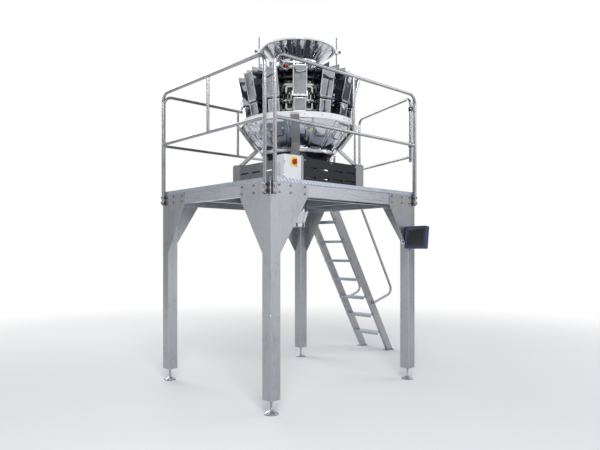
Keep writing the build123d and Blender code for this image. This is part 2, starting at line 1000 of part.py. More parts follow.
def clamp_knobs():
    """The round clamp handles, one beside each trough."""
    share = (knob_radius_at - pan_radii[0]) / (pan_radii[1] - pan_radii[0])
    side = pan_inner_width / 2 + share * (pan_outer_width - pan_inner_width) / 2
    flare = (pan_outer_width - pan_inner_width) / 2 / (pan_radii[1] - pan_radii[0])
    lean = math.degrees(math.atan(flare))
    knob_z = pan_floor_z + knob_height_at
    with BuildPart() as knobs:
        for azimuth in head_azimuths():
            out = Vector(*azimuth_direction(azimuth))
            across = Vector(*azimuth_direction(azimuth + 90))
            away = Vector(*azimuth_direction(azimuth + 90 + lean))
            start = Vector(axis_x, axis_y, knob_z) + out * knob_radius_at + across * side
            rod(start, start + away * knob_length, knob_r)
    return knobs.part


def dispersion_cone():
    """The shallow cone that spreads the product, on its stem."""
    rim_z = pan_floor_z + pan_height + cone_gap
    plate_top = housing_top_z + top_plate_t
    return turned_shell([
        (0, plate_top),
        (cone_stem_r, plate_top),
        (cone_stem_r, rim_z),
        (cone_r, rim_z),
        (cone_r, rim_z + cone_rim),
        (0, rim_z + cone_rim + cone_rise),
    ])


def infeed_funnel():
    """The funnel over the cone, hung by its flange."""
    low = infeed_bottom[1] - infeed_collar
    top = infeed_top[1]
    return turned_shell([
        (infeed_bottom[0] - infeed_wall, low),
        (infeed_bottom[0], low),
        infeed_bottom,
        infeed_top,
        (infeed_flange_r, top),
        (infeed_flange_r, top + infeed_wall),
        (infeed_top[0] - infeed_wall, top + infeed_wall),
        (infeed_bottom[0] - infeed_wall, infeed_bottom[1] + infeed_wall),
    ])


def rod_places():
    """The x and y of the two rods, in opposite gaps between heads."""
    first = first_head_azimuth + (rod_gap_index + 0.5) * head_step
    places = []
    for azimuth in (first, first + 180):
        out = azimuth_direction(azimuth)
        places.append((axis_x + out[0] * rod_at, axis_y + out[1] * rod_at))
    return places


def funnel_carrier():
    """The ring under the funnel's flange, with a boss round each rod."""
    top = infeed_top[1]
    inner = infeed_top[0] + slip_fit
    with BuildPart() as carrier:
        with BuildSketch(Plane.XY.offset(top - carrier_ring_t)):
            with Locations((axis_x, axis_y)):
                Circle(inner + carrier_ring_width)
        extrude(amount=carrier_ring_t)
        for x, y in rod_places():
            low = top - carrier_ring_t / 2 - carrier_boss_height / 2
            rod((x, y, low), (x, y, low + carrier_boss_height), carrier_boss_r)
        low = top - carrier_boss_height
        high = top + carrier_boss_height
        rod((axis_x, axis_y, low), (axis_x, axis_y, high), inner, Mode.SUBTRACT)
        for x, y in rod_places():
            rod((x, y, low), (x, y, high), rod_r + slip_fit, Mode.SUBTRACT)
    return carrier.part


def infeed_rods():
    """The two threaded rods that stand on the top plate."""
    foot = housing_top_z + top_plate_t
    with BuildPart() as rods:
        for x, y in rod_places():
            rod((x, y, foot), (x, y, rod_top_z), rod_r)
            rod((x, y, foot), (x, y, foot + rod_foot_t), rod_foot_r)
    return rods.part


def cabinet_corner():
    """The cabinet's front left lower corner: its right side lies on the left pedestal."""
    length = cabinet_size[0]
    return axis_x - base_half - length, axis_y - base_half - cabinet_front, deck_top


def isolator_place():
    """The middle of the isolator on the cabinet's front."""
    x, y, z = cabinet_corner()
    return x + cabinet_size[0] - isolator_inset, y, z + isolator_height


def control_cabinet():
    """The closed cabinet on the deck, with a socket for the isolator's shaft."""
    x, y, z = cabinet_corner()
    length, depth, height = cabinet_size
    knob_x, knob_y, knob_z = isolator_place()
    with BuildPart() as cabinet:
        block((x, y, z), (x + length, y + depth, z + height))
        fillet(cabinet.edges().filter_by(Axis.Z), cabinet_corner_r)
        mouth = (knob_x, y, knob_z)
        socket_end = (knob_x, y + isolator_shaft_depth + isolator_shaft_end_gap, knob_z)
        rod(mouth, socket_end, isolator_shaft_r + isolator_shaft_fit, Mode.SUBTRACT)
    return cabinet.part


def isolator_plate():
    """The square plate behind the isolator knob."""
    x, y, z = isolator_place()
    with BuildPart() as plate:
        with BuildSketch(upright((x, y, z), (1, 0, 0))):
            RectangleRounded(isolator_plate_size, isolator_plate_size, cabinet_corner_r)
            Circle(isolator_shaft_r + isolator_shaft_fit, mode=Mode.SUBTRACT)
        extrude(amount=isolator_plate_t)
    return plate.part


def isolator_knob():
    """The turning knob with its grip, on a shaft into the cabinet."""
    x, y, z = isolator_place()
    base = y - isolator_plate_t - isolator_gap
    grip_width, grip_length, grip_height = isolator_grip
    with BuildPart() as knob:
        rod((x, base, z), (x, base - isolator_knob_height, z), isolator_knob_r)
        rod((x, base, z), (x, y + isolator_shaft_depth, z), isolator_shaft_r)
        front = base - isolator_knob_height
        block(
            (x - grip_width / 2, front - grip_height, z - grip_length / 2),
            (x + grip_width / 2, front, z + grip_length / 2),
        )
    return knob.part


def panel_pivot():
    """The x and y of the operator panel's upright pivot."""
    back_x = bay_x - leg_size / 2 - panel_leg_gap
    middle_y = front_y - panel_leg_gap - panel_size[1] / 2
    return back_x + panel_pivot_gap, middle_y


def hmi_bracket():
    """The arm on the front right leg, with the pin that the panel turns on."""
    x, y = panel_pivot()
    width, depth = arm_plate
    top = panel_centre_z - arm_drop
    with BuildPart() as bracket:
        block(
            (bay_x - width / 2, front_y - depth, top - arm_plate_below),
            (bay_x + width / 2, front_y, top + arm_plate_above),
        )
        block(
            (x - arm_size / 2, y - arm_size / 2, top - arm_size),
            (x + arm_size / 2, front_y, top),
        )
        rod((x, y, top - arm_size), (x, y, top + pivot_height), pivot_r)
    return bracket.part


def hmi_panel():
    """The operator panel, tilted back, with the ring at its back that turns on the pin."""
    x, y = panel_pivot()
    depth, width, height = panel_size
    lean = math.sin(math.radians(panel_tilt))
    middle = (x - panel_pivot_gap - depth / 2 - lean * height / 2, y, panel_centre_z)
    tilted = Plane(origin=middle, x_dir=(0, -1, 0), z_dir=(-math.cos(math.radians(panel_tilt)), 0, lean))
    ring_low = panel_centre_z - arm_drop + slip_fit
    ring_high = ring_low + pivot_ring_height
    with BuildPart() as panel:
        rod((x, y, ring_low), (x, y, ring_high), pivot_ring_r)
        block((middle[0], y - arm_size / 2, ring_low), (x, y + arm_size / 2, ring_high))
        with BuildSketch(tilted.offset(-depth / 2)):
            RectangleRounded(width, height, panel_corner_r)
        extrude(amount=depth)
        rod((x, y, ring_low), (x, y, ring_high), pivot_r + pivot_fit, Mode.SUBTRACT)
    return panel.part


def button_box():
    """The small push button box on the inner side of the front right leg."""
    depth, width, height = button_box_size
    face = bay_x - leg_size / 2
    low_y = front_y + button_box_inset
    with BuildPart() as box:
        block(
            (face - depth, low_y, button_box_z - height / 2),
            (face, low_y + width, button_box_z + height / 2),
        )
        fillet(box.edges().filter_by(Axis.X), button_box_corner_r)
    return box.part


beam_near_x = left_x + corner_plate_t
beam_far_x = right_x - corner_plate_t
beam_near_y = front_y + corner_plate_t
beam_far_y = back_y - corner_plate_t
leg_half = leg_size / 2
beam_spans = {
    "beam_front": ((leg_half, beam_near_y), (bay_x - leg_half, beam_near_y + beam_depth)),
    "beam_back": ((leg_half, beam_far_y - beam_depth), (bay_x - leg_half, beam_far_y)),
    "beam_left": ((beam_near_x, leg_half), (beam_near_x + beam_depth, bay_y - leg_half)),
    "beam_right": ((beam_far_x - beam_depth, leg_half), (beam_far_x, bay_y - leg_half)),
}

keep("leg_front_left", leg(0, 0, 1, 1))
keep("leg_front_right", leg(bay_x, 0, -1, 1))
keep("leg_back_left", leg(0, bay_y, 1, -1))
keep("leg_back_right", leg(bay_x, bay_y, -1, -1))
keep("levelling_feet", levelling_feet())
for beam_name, (low_corner, high_corner) in beam_spans.items():
    keep(beam_name, beam((*low_corner, beam_bottom), (*high_corner, beam_top)))
keep("deck_joists", deck_joists())
keep("deck_planks", deck_planks())
keep("guardrail_left", guardrail(*rail_posts()["left"]))
keep("guardrail_front", guardrail(*rail_posts()["front"]))
keep("guardrail_back", guardrail(*rail_posts()["back"]))
keep("rail_clamps", rail_clamps())
keep("gate_post", gate_post())
keep("access_gate", access_gate())
keep("stair_stringers", stair_stringers())
keep("stair_treads", stair_treads())
keep("stair_handrails", stair_handrails())

keep("base_pedestals", base_pedestals())
keep("base_panels", base_panels())
keep("support_struts", support_struts())
keep("chute_ring", chute_ring())
keep("discharge_chutes", discharge_chutes())
keep("collecting_funnel", collecting_funnel())
keep("discharge_spout", discharge_spout())
keep("central_housing", central_housing())
drive_heights = (drive_bottom_z, housing_top_z)
keep("drive_units", radial_boxes(housing_r, drive_r, drive_width, *drive_heights))
keep("feed_hoppers", feed_hoppers())
keep("feed_gates", feed_gates())
keep("weigh_hoppers", weigh_hoppers())
for number, head_azimuth in enumerate(head_azimuths(), start=1):
    weigh_gate = hopper_gate(head_azimuth, weigh_width, weigh_bottom_z, weigh_bottom_radii)
    keep(f"weigh_gate_{number:02d}", weigh_gate)
feeder_drive_heights = (housing_top_z + top_plate_t, pan_floor_z)
keep("feeder_drives", radial_boxes(*feeder_drive_radii, feeder_drive_width, *feeder_drive_heights))
keep("feeder_pans", feeder_pans())
keep("clamp_knobs", clamp_knobs())
keep("dispersion_cone", dispersion_cone())
keep("infeed_funnel", infeed_funnel())
keep("funnel_carrier", funnel_carrier())
keep("infeed_rods", infeed_rods())

keep("control_cabinet", control_cabinet())
keep("isolator_plate", isolator_plate())
keep("isolator_knob", isolator_knob())
keep("hmi_bracket", hmi_bracket())
keep("hmi_panel", hmi_panel())
keep("button_box", button_box())
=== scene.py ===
# %% [markdown]
# # Dressing a multihead weigher
# A multihead weigher is a ring of small hoppers round a motor housing. Product drops on a cone,
# shakes out along fourteen troughs, waits in fourteen upper hoppers and is weighed in fourteen
# lower ones. The machine stands on a raised platform with guard rails, a gate and a stair.
# The solids come from the CAD frame at their real size. This lesson gives them their finishes
# and adds the small things that CAD leaves out: bolts, threads, weld beads, pressed sheet,
# levers, handles and the grip of the deck. Every new shape is worked out as a surface of two
# parameters with numpy, so each one is a formula and a few real sizes in metres.

# %% Load the frame
import json
import math

import bmesh
import bpy
import numpy as np
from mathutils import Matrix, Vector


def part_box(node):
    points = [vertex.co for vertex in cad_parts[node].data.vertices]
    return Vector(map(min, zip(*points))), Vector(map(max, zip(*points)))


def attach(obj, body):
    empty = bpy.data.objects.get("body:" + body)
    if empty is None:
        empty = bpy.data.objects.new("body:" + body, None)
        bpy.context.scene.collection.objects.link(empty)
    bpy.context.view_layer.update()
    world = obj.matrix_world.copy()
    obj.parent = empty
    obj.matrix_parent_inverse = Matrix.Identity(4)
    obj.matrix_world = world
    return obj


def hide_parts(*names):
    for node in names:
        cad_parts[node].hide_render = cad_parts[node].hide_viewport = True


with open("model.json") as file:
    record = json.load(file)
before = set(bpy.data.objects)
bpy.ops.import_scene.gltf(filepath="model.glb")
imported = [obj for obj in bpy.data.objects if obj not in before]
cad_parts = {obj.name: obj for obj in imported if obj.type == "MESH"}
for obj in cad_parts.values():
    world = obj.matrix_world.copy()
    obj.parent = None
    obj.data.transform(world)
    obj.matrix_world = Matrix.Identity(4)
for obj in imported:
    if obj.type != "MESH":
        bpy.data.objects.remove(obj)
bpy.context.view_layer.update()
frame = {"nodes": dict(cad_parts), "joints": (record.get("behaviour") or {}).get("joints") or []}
nodes = frame["nodes"]

# %% [markdown]
# ## Where things are
# A piece that sits on the machine must find its seat from the machine, not from a guess. The
# corners of the legs give the platform's faces, the round band under the hoppers gives the
# weigher's upright axis, and the hinges of the fourteen gates give each head's bearing.

# %% Places read from the frame
platform_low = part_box("leg_front_left")[0]
platform_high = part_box("leg_back_right")[1]
left_x, front_y = platform_low.x, platform_low.y
right_x, back_y = platform_high.x, platform_high.y
beam_top = platform_high.z
deck_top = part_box("deck_planks")[1].z
ring_low, ring_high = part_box("chute_ring")
axis_x = (ring_low.x + ring_high.x) / 2
axis_y = (ring_low.y + ring_high.y) / 2
up = np.array([0.0, 0.0, 1.0])

joint_places = {joint["name"]: joint["pos_m"] for joint in frame["joints"]}
gate_places = np.array([place for name, place in joint_places.items() if name.startswith("weigh_gate")])
head_angles = np.arctan2(gate_places[:, 1] - axis_y, gate_places[:, 0] - axis_x)
head_count = len(head_angles)
half_step = math.pi / head_count
gap_angles = head_angles + half_step
print("axis at", round(axis_x, 3), round(axis_y, 3), "heads:", head_count, "deck at", round(deck_top, 3))

# %% [markdown]
# ## Camera
# The machine was seen from eye height, a few steps off its front left corner, with the
# camera held level so that upright posts stay upright. The lens is set from the frame's width in
# pixels, and a small upward shift centres the machine without tilting the camera.

# %% Camera
camera_place = (-3.201, -3.862, 1.488)
camera_bearing = 47.4
frame_width = 600
sensor_width = 36
focal_pixels = 557
middle_above_horizon = 23.5

camera_data = bpy.data.cameras.new("camera")
camera_data.sensor_width = sensor_width
camera_data.lens = focal_pixels / frame_width * sensor_width
camera_data.shift_y = middle_above_horizon / frame_width
camera = bpy.data.objects.new("camera", camera_data)
camera.location = camera_place
camera.rotation_euler = (math.radians(90), 0, math.radians(camera_bearing - 90))
bpy.context.scene.collection.objects.link(camera)
bpy.context.scene.camera = camera
bpy.context.scene.view_settings.view_transform = "Standard"
print("lens", round(camera_data.lens, 2), "mm")

# %% [markdown]
# ## Studio
# Polished steel shows its surroundings, so the studio matters as much as the material. A pale
# world lights everything softly. What the camera and the mirrors see is white at the horizon and
# grey overhead, which rounds level tubes and cones. Three large soft lamps add direction.

# %% World
def new_node(tree, kind, inputs=(), **settings):
    """Adds a node with its settings; an input gets a value, or a link where a socket is given."""
    node = tree.nodes.new(kind)
    for name, value in settings.items():
        setattr(node, name, value)
    for name, value in dict(inputs).items():
        if isinstance(value, bpy.types.NodeSocket):
            tree.links.new(value, node.inputs[name])
        else:
            node.inputs[name].default_value = value
    return node


def ramp(tree, factor, *stops):
    """Colours by a factor: each stop is a place and a colour, and the ones between are blended."""
    node = new_node(tree, "ShaderNodeValToRGB", {"Fac": factor})
    elements = node.color_ramp.elements
    for place, colour in stops[2:]:
        elements.new(place)
    for element, (place, colour) in zip(elements, stops):
        element.position = place
        element.color = (*colour, 1)
    return node.outputs["Color"]


def larger(tree, first, second):
    """The larger of two factors."""
    return new_node(tree, "ShaderNodeMath", {0: first, 1: second}, operation="MAXIMUM").outputs[0]


world = bpy.data.worlds.new("studio")
world.use_nodes = True
bpy.context.scene.world = world
sky = world.node_tree
sky.nodes.clear()
rays = new_node(sky, "ShaderNodeLightPath").outputs
seen = larger(sky, rays["Is Camera Ray"], rays["Is Glossy Ray"])
seen = larger(sky, seen, rays["Is Transmission Ray"])
direction = new_node(sky, "ShaderNodeTexCoord").outputs["Generated"]
height = new_node(sky, "ShaderNodeSeparateXYZ", {0: direction}).outputs["Z"]
shade = ramp(sky, height, (0.40, (1, 1, 1)), (0.85, (0.16, 0.17, 0.20)))
backdrop = new_node(sky, "ShaderNodeBackground", {"Color": shade, "Strength": 1.0})
fill = new_node(sky, "ShaderNodeBackground", {"Color": (0.94, 0.96, 1.0, 1), "Strength": 0.48})
mixed = new_node(sky, "ShaderNodeMixShader", {"Fac": seen, 1: fill.outputs[0], 2: backdrop.outputs[0]})
new_node(sky, "ShaderNodeOutputWorld", {"Surface": mixed.outputs[0]})
print("world nodes:", len(sky.nodes))

# %% Lamps
def soft_lamp(name, place, target, size, power):
    """A square area lamp at a place, turned to face a target."""
    data = bpy.data.lights.new(name, "AREA")
    data.shape = "SQUARE"
    data.size = size
    data.energy = power
    lamp = bpy.data.objects.new(name, data)
    lamp.location = place
    aim = Vector(target) - Vector(place)
    lamp.rotation_euler = aim.to_track_quat("-Z", "Y").to_euler()
    lamp.visible_camera = False
    bpy.context.scene.collection.objects.link(lamp)
    return lamp


middle = (axis_x, axis_y, 2.4)
soft_lamp("key lamp", (-3.5, -5.0, 6.5), middle, 2.8, 360)
soft_lamp("side lamp", (6.5, -3.0, 5.5), middle, 4.0, 90)
soft_lamp("back lamp", (1.0, 6.5, 5.5), middle, 4.0, 150)
print("lamps:", [light.name for light in bpy.data.lights])

# %% [markdown]
# ## Points, faces and pieces
# Each shape below is a pair: an array of points and an array of four-cornered faces. A grid of
# points gets its faces from its own counting, so no vertex is ever visited in a loop. The mesh is
# filled from the arrays, doubled points at poles and seams are merged, and the faces are turned
# outwards. Edges sharper than an angle stay crisp, as on a pressed or machined part.

# %% Points and faces
def grid_faces(rows, columns, round_rows=False, round_columns=False):
    """Faces between neighbouring points of a grid; a round direction joins its end to its start."""
    row = np.arange(rows if round_rows else rows - 1)[:, None]
    column = np.arange(columns if round_columns else columns - 1)[None, :]
    next_row = (row + 1) % rows
    next_column = (column + 1) % columns
    corners = (
        row * columns + column,
        next_row * columns + column,
        next_row * columns + next_column,
        row * columns + next_column,
    )
    return np.stack(np.broadcast_arrays(*corners), axis=-1).reshape(-1, 4)


def grid_shape(grid, round_rows=False, round_columns=False):
    """A shape from a grid of points: the points in a row, and the faces between neighbours."""
    return grid.reshape(-1, 3), grid_faces(*grid.shape[:2], round_rows, round_columns)


def joined(*shapes):
    """One shape from several: the points in a row, the faces counted on."""
    starts = np.cumsum([0] + [len(points) for points, faces in shapes[:-1]])
    points = np.concatenate([points for points, faces in shapes])
    faces = np.concatenate([shape[1] + start for shape, start in zip(shapes, starts)])
    return points, faces


print("a grid of 3 by 4 points has", len(grid_faces(3, 4)), "faces")

# %% Frames and pieces
def places(origins, x_directions, z_directions):
    """Frames to set shapes in: columns are the x axis, z cross x, the z axis and the origin."""
    origins = np.atleast_2d(np.asarray(origins, float))
    x_axis = np.broadcast_to(np.asarray(x_directions, float), origins.shape)
    z_axis = np.broadcast_to(np.asarray(z_directions, float), origins.shape)
    x_axis = x_axis / np.linalg.norm(x_axis, axis=1, keepdims=True)
    z_axis = z_axis / np.linalg.norm(z_axis, axis=1, keepdims=True)
    return np.stack([x_axis, np.cross(z_axis, x_axis), z_axis, origins], axis=-1)


def upright(origins):
    """Frames that stand upright: x along the platform's width, y along its depth and z up."""
    return places(origins, (1, 0, 0), up)


def facing(origins, outward):
    """Frames on an upright face: x along it, y up it and z out of it."""
    return places(origins, np.cross(up, outward), outward)


def scattered(shape, frames):
    """A copy of a shape in each frame: the coordinates times the frame's axes, plus its origin."""
    points, faces = shape
    copies = np.einsum("kij,nj->kni", frames[:, :, :3], points) + frames[:, None, :, 3]
    starts = np.arange(len(frames))[:, None, None] * len(points)
    return copies.reshape(-1, 3), (faces[None] + starts).reshape(-1, 4)


print("an upright frame, its axes and its origin:", upright((0, 0, 1)).tolist())


def make_piece(name, shape, frames, material, body="platform", crisp=35):
    """A mesh object: a shape in each frame, merged doubles, faces outwards and one material."""
    points, faces = shape if frames is None else scattered(shape, frames)
    mesh = bpy.data.meshes.new(name)
    mesh.vertices.add(len(points))
    mesh.vertices.foreach_set("co", points.astype(np.float32).ravel())
    mesh.loops.add(faces.size)
    mesh.loops.foreach_set("vertex_index", faces.astype(np.int32).ravel())
    mesh.polygons.add(len(faces))
    mesh.polygons.foreach_set("loop_start", np.arange(0, faces.size, 4, dtype=np.int32))
    mesh.update(calc_edges=True)
    work = bmesh.new()
    work.from_mesh(mesh)
    bmesh.ops.remove_doubles(work, verts=work.verts, dist=1e-6)
    bmesh.ops.recalc_face_normals(work, faces=work.faces)
    work.to_mesh(mesh)
    work.free()
    mesh.polygons.foreach_set("use_smooth", np.ones(len(mesh.polygons), dtype=bool))
    mesh.set_sharp_from_angle(angle=math.radians(crisp))
    mesh.materials.append(material)
    piece = bpy.data.objects.new(name, mesh)
    bpy.context.scene.collection.objects.link(piece)
    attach(piece, body)
    print(name, len(mesh.polygons), "faces")
    return piece

# %% [markdown]
# ## Outlines and the ways to carry them
# Most machine parts are an outline taken somewhere. Stacked upwards with small insets it becomes
# a bolt head, a knob or a plate with a broken edge. Carried along a path it becomes a rim, a weld
# bead or a wire handle. Turned about an axis it becomes a ring. An outline here is a function of
# its inset, so that the same outline gives the side and the chamfer of a part.

# %% Outlines
def round_outline(radius, count=24):
    """Points on a circle at even angles; the inset shortens the radius."""
    angle = np.linspace(0, 2 * np.pi, count, endpoint=False)
    circle = np.stack([np.cos(angle), np.sin(angle)], axis=1)
    return lambda inset: (radius - inset) * circle


def hex_outline(across):
    """The six corners of a hexagon from its width across flats; the inset moves each flat in."""
    unit = round_outline(2 / math.sqrt(3), 6)(0)
    return lambda inset: (across / 2 - inset) * unit


def lobed_outline(radius, depth, lobes, count):
    """A circle whose radius swells and shrinks by a cosine, as on a knob made to be gripped."""
    angle = np.linspace(0, 2 * np.pi, count, endpoint=False)
    wave = radius * (1 - depth / 2 + depth / 2 * np.cos(lobes * angle))
    circle = np.stack([np.cos(angle), np.sin(angle)], axis=1)
    return lambda inset: (wave - inset)[:, None] * circle


def box_outline(width, height, corner, steps=4):
    """A rectangle with round corners: each quarter turn is drawn about its own corner's centre."""
    quarter = np.repeat(np.arange(4), steps)
    angle = (quarter + np.tile(np.linspace(0, 1, steps), 4)) * np.pi / 2
    turn = np.stack([np.cos(angle), np.sin(angle)], axis=1)
    side = np.stack([np.array([1, -1, -1, 1])[quarter], np.array([1, 1, -1, -1])[quarter]], axis=1)
    half = np.array([width, height]) / 2

    def outline(inset):
        radius = max(corner - inset, 0)
        return side * (half - inset - radius) + radius * turn

    return outline


corner_width = np.ptp(hex_outline(0.018)(0)[:, 0])
print("a hexagon 18 mm across flats is", round(corner_width * 1000, 1), "mm across corners")

# %% Stacked and carried surfaces
def at_level(outline, level, inset=0):
    """The points of an outline at a height."""
    ring = outline(inset)
    return np.column_stack([ring, np.full(len(ring), level)])


def stacked(outline, layers):
    """A surface up through (inset, height) layers of an outline, each end shut by a ring and a fan."""
    rings = [at_level(outline, level, inset) for inset, level in layers]
    middles = [np.broadcast_to(ring.mean(axis=0), ring.shape) for ring in (rings[0], rings[-1])]
    flats = [middle + 0.9 * (ring - middle) for ring, middle in zip((rings[0], rings[-1]), middles)]
    return grid_shape(np.stack([middles[0], flats[0], *rings, flats[1], middles[1]]), round_columns=True)


def bar(outline, low, high, edge):
    """An outline stacked between two heights, with the edges of both ends broken."""
    return stacked(outline, [(edge, low), (0, low + edge), (0, high - edge), (edge, high)])


def carried(outline, path, normal, closed=False):
    """An outline carried along a path: its x lies across the path and its y along the normal."""
    if closed:
        tangent = np.roll(path, -1, axis=0) - np.roll(path, 1, axis=0)
    else:
        tangent = np.gradient(path, axis=0)
    tangent = tangent / np.linalg.norm(tangent, axis=1, keepdims=True)
    across = np.cross(normal, tangent)
    section = outline(0)
    grid = path[:, None] + across[:, None] * section[None, :, :1] + normal * section[None, :, 1:]
    if not closed:
        ends = [np.broadcast_to(point, grid.shape[1:])[None] for point in (path[0], path[-1])]
        grid = np.concatenate([ends[0], grid, ends[1]])
    return grid_shape(grid, round_rows=closed, round_columns=True)


def hoop(section, outline, level):
    """A section carried once round a level outline, as a rim, a seam or a bezel."""
    return carried(section, at_level(outline, level), up, closed=True)


print("a plain round bar has", len(bar(round_outline(0.010), 0, 0.100, 0.001)[1]), "faces")

# %% Turned and pressed surfaces
def polar_grid(angle, radius, level):
    """Points round the z axis: x and y are the radius times the angle's cosine and sine."""
    return np.stack(np.broadcast_arrays(np.cos(angle) * radius, np.sin(angle) * radius, level), axis=-1)


def turned(profile, count=48):
    """A closed (radius, height) profile turned about the z axis."""
    profile = np.asarray(profile, float)
    angle = np.linspace(0, 2 * np.pi, count, endpoint=False)[:, None]
    grid = polar_grid(angle, profile[:, 0], profile[:, 1])
    return grid_shape(grid, round_rows=True, round_columns=True)


def round_bead(radius, level, thickness, count):
    """A bead in a ring: a circle set off by the radius and the height, and turned."""
    return turned(round_outline(thickness, 10)(0) + (radius, level), count)


def plate(front, back):
    """A closed sheet between two grids of points of one shape: two faces and the edge between them."""
    rows, columns = front.shape[:2]
    count = rows * columns
    index = np.arange(count).reshape(rows, columns)
    border = np.concatenate([index[0, :-1], index[:-1, -1], index[-1, :0:-1], index[:0:-1, 0]])
    onward = np.roll(border, -1)
    edge = np.stack([border, onward, onward + count, border + count], axis=1)
    faces = grid_faces(rows, columns)
    points = np.concatenate([front.reshape(-1, 3), back.reshape(-1, 3)])
    return points, np.concatenate([faces, faces + count, edge])


def flat_backed(x, y, rise, under):
    """A sheet whose front stands at a rise over x and y, with a flat back at a depth under them."""
    back = np.full_like(x, -under)
    return plate(np.stack([x, y, rise], axis=-1), np.stack([x, y, back], axis=-1))


print("a bead in a ring has", len(round_bead(0.100, 0, 0.003, 48)[1]), "faces")

# %% Places round the weigher
def bearings(angles):
    """Unit directions at bearings about the weigher: out from its axis, and round it."""
    out = np.column_stack([np.cos(angles), np.sin(angles), np.zeros(len(angles))])
    return out, np.cross(up, out)


def around(angles, radius, level, lean=0.0):
    """Frames at bearings round the weigher: x runs round, y up and z out, leaning down by an angle."""
    out, along = bearings(angles)
    origins = np.array([axis_x, axis_y, level]) + out * radius
    return places(origins, along, out * math.cos(lean) - up * math.sin(lean))


print("the heads' bearings in degrees:", np.degrees(head_angles).round(1).tolist())

# %% Bolts and screws
def bolt(across, head_height, washer_r):
    """A washer with a hexagon head on it, its top edge broken and its crown slightly domed."""
    washer_t = head_height / 5
    top = washer_t + head_height
    washer = stacked(round_outline(washer_r, 20), [(0, 0), (0, washer_t)])
    head = stacked(
        hex_outline(across),
        [(0, washer_t), (0, top - across / 10), (across / 12, top - across / 40), (across / 4, top)],
    )
    return joined(washer, head)


def dome_screw(radius, height, count=16):
    """A round screw head: a quarter of an ellipse from its rim to its crown, with a socket in it."""
    socket = radius * 0.35
    layers = [(0, 0), (0, height * 0.4), (radius * 0.15, height * 0.75), (radius * 0.45, height)]
    layers += [(radius - socket, height), (radius - socket * 0.9, height * 0.4)]
    return stacked(round_outline(radius, count), layers)


print("a bolt has", len(bolt(0.018, 0.008, 0.013)[1]), "faces")

# %% [markdown]
# ## Finishes
# Stainless steel is never one grey. Rolling and brushing leave a fine grain, handling leaves
# clouds, and a mirror polish still keeps soft waves. Each finish below reads the object's own
# coordinates, so the pattern stays put from every side: a large noise tints the metal a little
# warmer or cooler, a stretched noise varies the roughness, and a shallow bump breaks reflections.

# %% Material helpers
def new_material(name, colour, metallic, roughness):
    """A material whose plain values sit on the shader's own sockets."""
    material = bpy.data.materials.new(name)
    material.use_nodes = True
    shader = material.node_tree.nodes["Principled BSDF"]
    shader.inputs["Base Color"].default_value = (*colour, 1)
    shader.inputs["Metallic"].default_value = metallic
    shader.inputs["Roughness"].default_value = roughness
    return material, material.node_tree, shader


def noise(tree, scale, detail=4.0, stretch=(1, 1, 1)):
    """A noise over the object's coordinates, stretched along its axes."""
    where = new_node(tree, "ShaderNodeTexCoord").outputs["Object"]
    mapping = new_node(tree, "ShaderNodeMapping", {"Vector": where, "Scale": stretch}).outputs["Vector"]
    texture = new_node(tree, "ShaderNodeTexNoise", {"Vector": mapping, "Scale": scale, "Detail": detail})
    return texture.outputs[0]


def vary(tree, factor, low, high):
    """A value that runs from low to high as the factor runs over a noise's usual range."""
    limits = {"From Min": 0.3, "From Max": 0.7, "To Min": low, "To Max": high}
    return new_node(tree, "ShaderNodeMapRange", {"Value": factor, **limits}).outputs["Result"]


def bump(tree, shader, factor, depth):
    """Raises the surface by a factor times a depth in metres."""
    node = new_node(tree, "ShaderNodeBump", {"Height": factor, "Strength": 1.0, "Distance": depth})
    tree.links.new(node.outputs["Normal"], shader.inputs["Normal"])


def added(tree, first, second):
    """The sum of two factors."""
    return new_node(tree, "ShaderNodeMath", {0: first, 1: second}).outputs[0]


def steel(name, warm, cool, patch, grain, roughness, depth, streak=None, fine=5.0):
    """Steel: wide patches plus finer streaks tint it, and a grain breaks its roughness and surface."""
    material, tree, shader = new_material(name, warm, 1.0, sum(roughness) / 2)
    clouds = noise(tree, patch)
    streaks = noise(tree, 1.0, 6.0, streak or (patch * 7,) * 3)
    tint = ramp(tree, added(tree, clouds, streaks), (0.78, warm), (1.0, cool))
    tree.links.new(tint, shader.inputs["Base Color"])
    lines = noise(tree, 1.0, fine, grain)
    tree.links.new(vary(tree, lines, *roughness), shader.inputs["Roughness"])
    bump(tree, shader, lines, depth)
    return material


def lacquer(name, colour, darker, roughness, coat=0.0):
    """Paint or moulded plastic: a faint tint change and the dimples of its surface."""
    material, tree, shader = new_material(name, colour, 0.0, roughness)
    tint = ramp(tree, noise(tree, 6.0), (0.3, darker), (0.7, colour))
    tree.links.new(tint, shader.inputs["Base Color"])
    dimples = noise(tree, 420.0, 2.0)
    rough = vary(tree, dimples, roughness * 0.85, min(roughness * 1.2, 1))
    tree.links.new(rough, shader.inputs["Roughness"])
    bump(tree, shader, dimples, 0.0002)
    shader.inputs["Coat Weight"].default_value = coat
    return material


print("materials before the finishes:", len(bpy.data.materials))

# %% [markdown]
# ## The finishes of this machine
# The frame is satin sheet with upright grain on the posts and level grain on the beams. Tubes are
# polished along their length. The hoppers are mirror-polished so that product slides out, the
# chutes are bright rolled sheet, and the planks are pressed from pale blue-grey galvanised sheet.

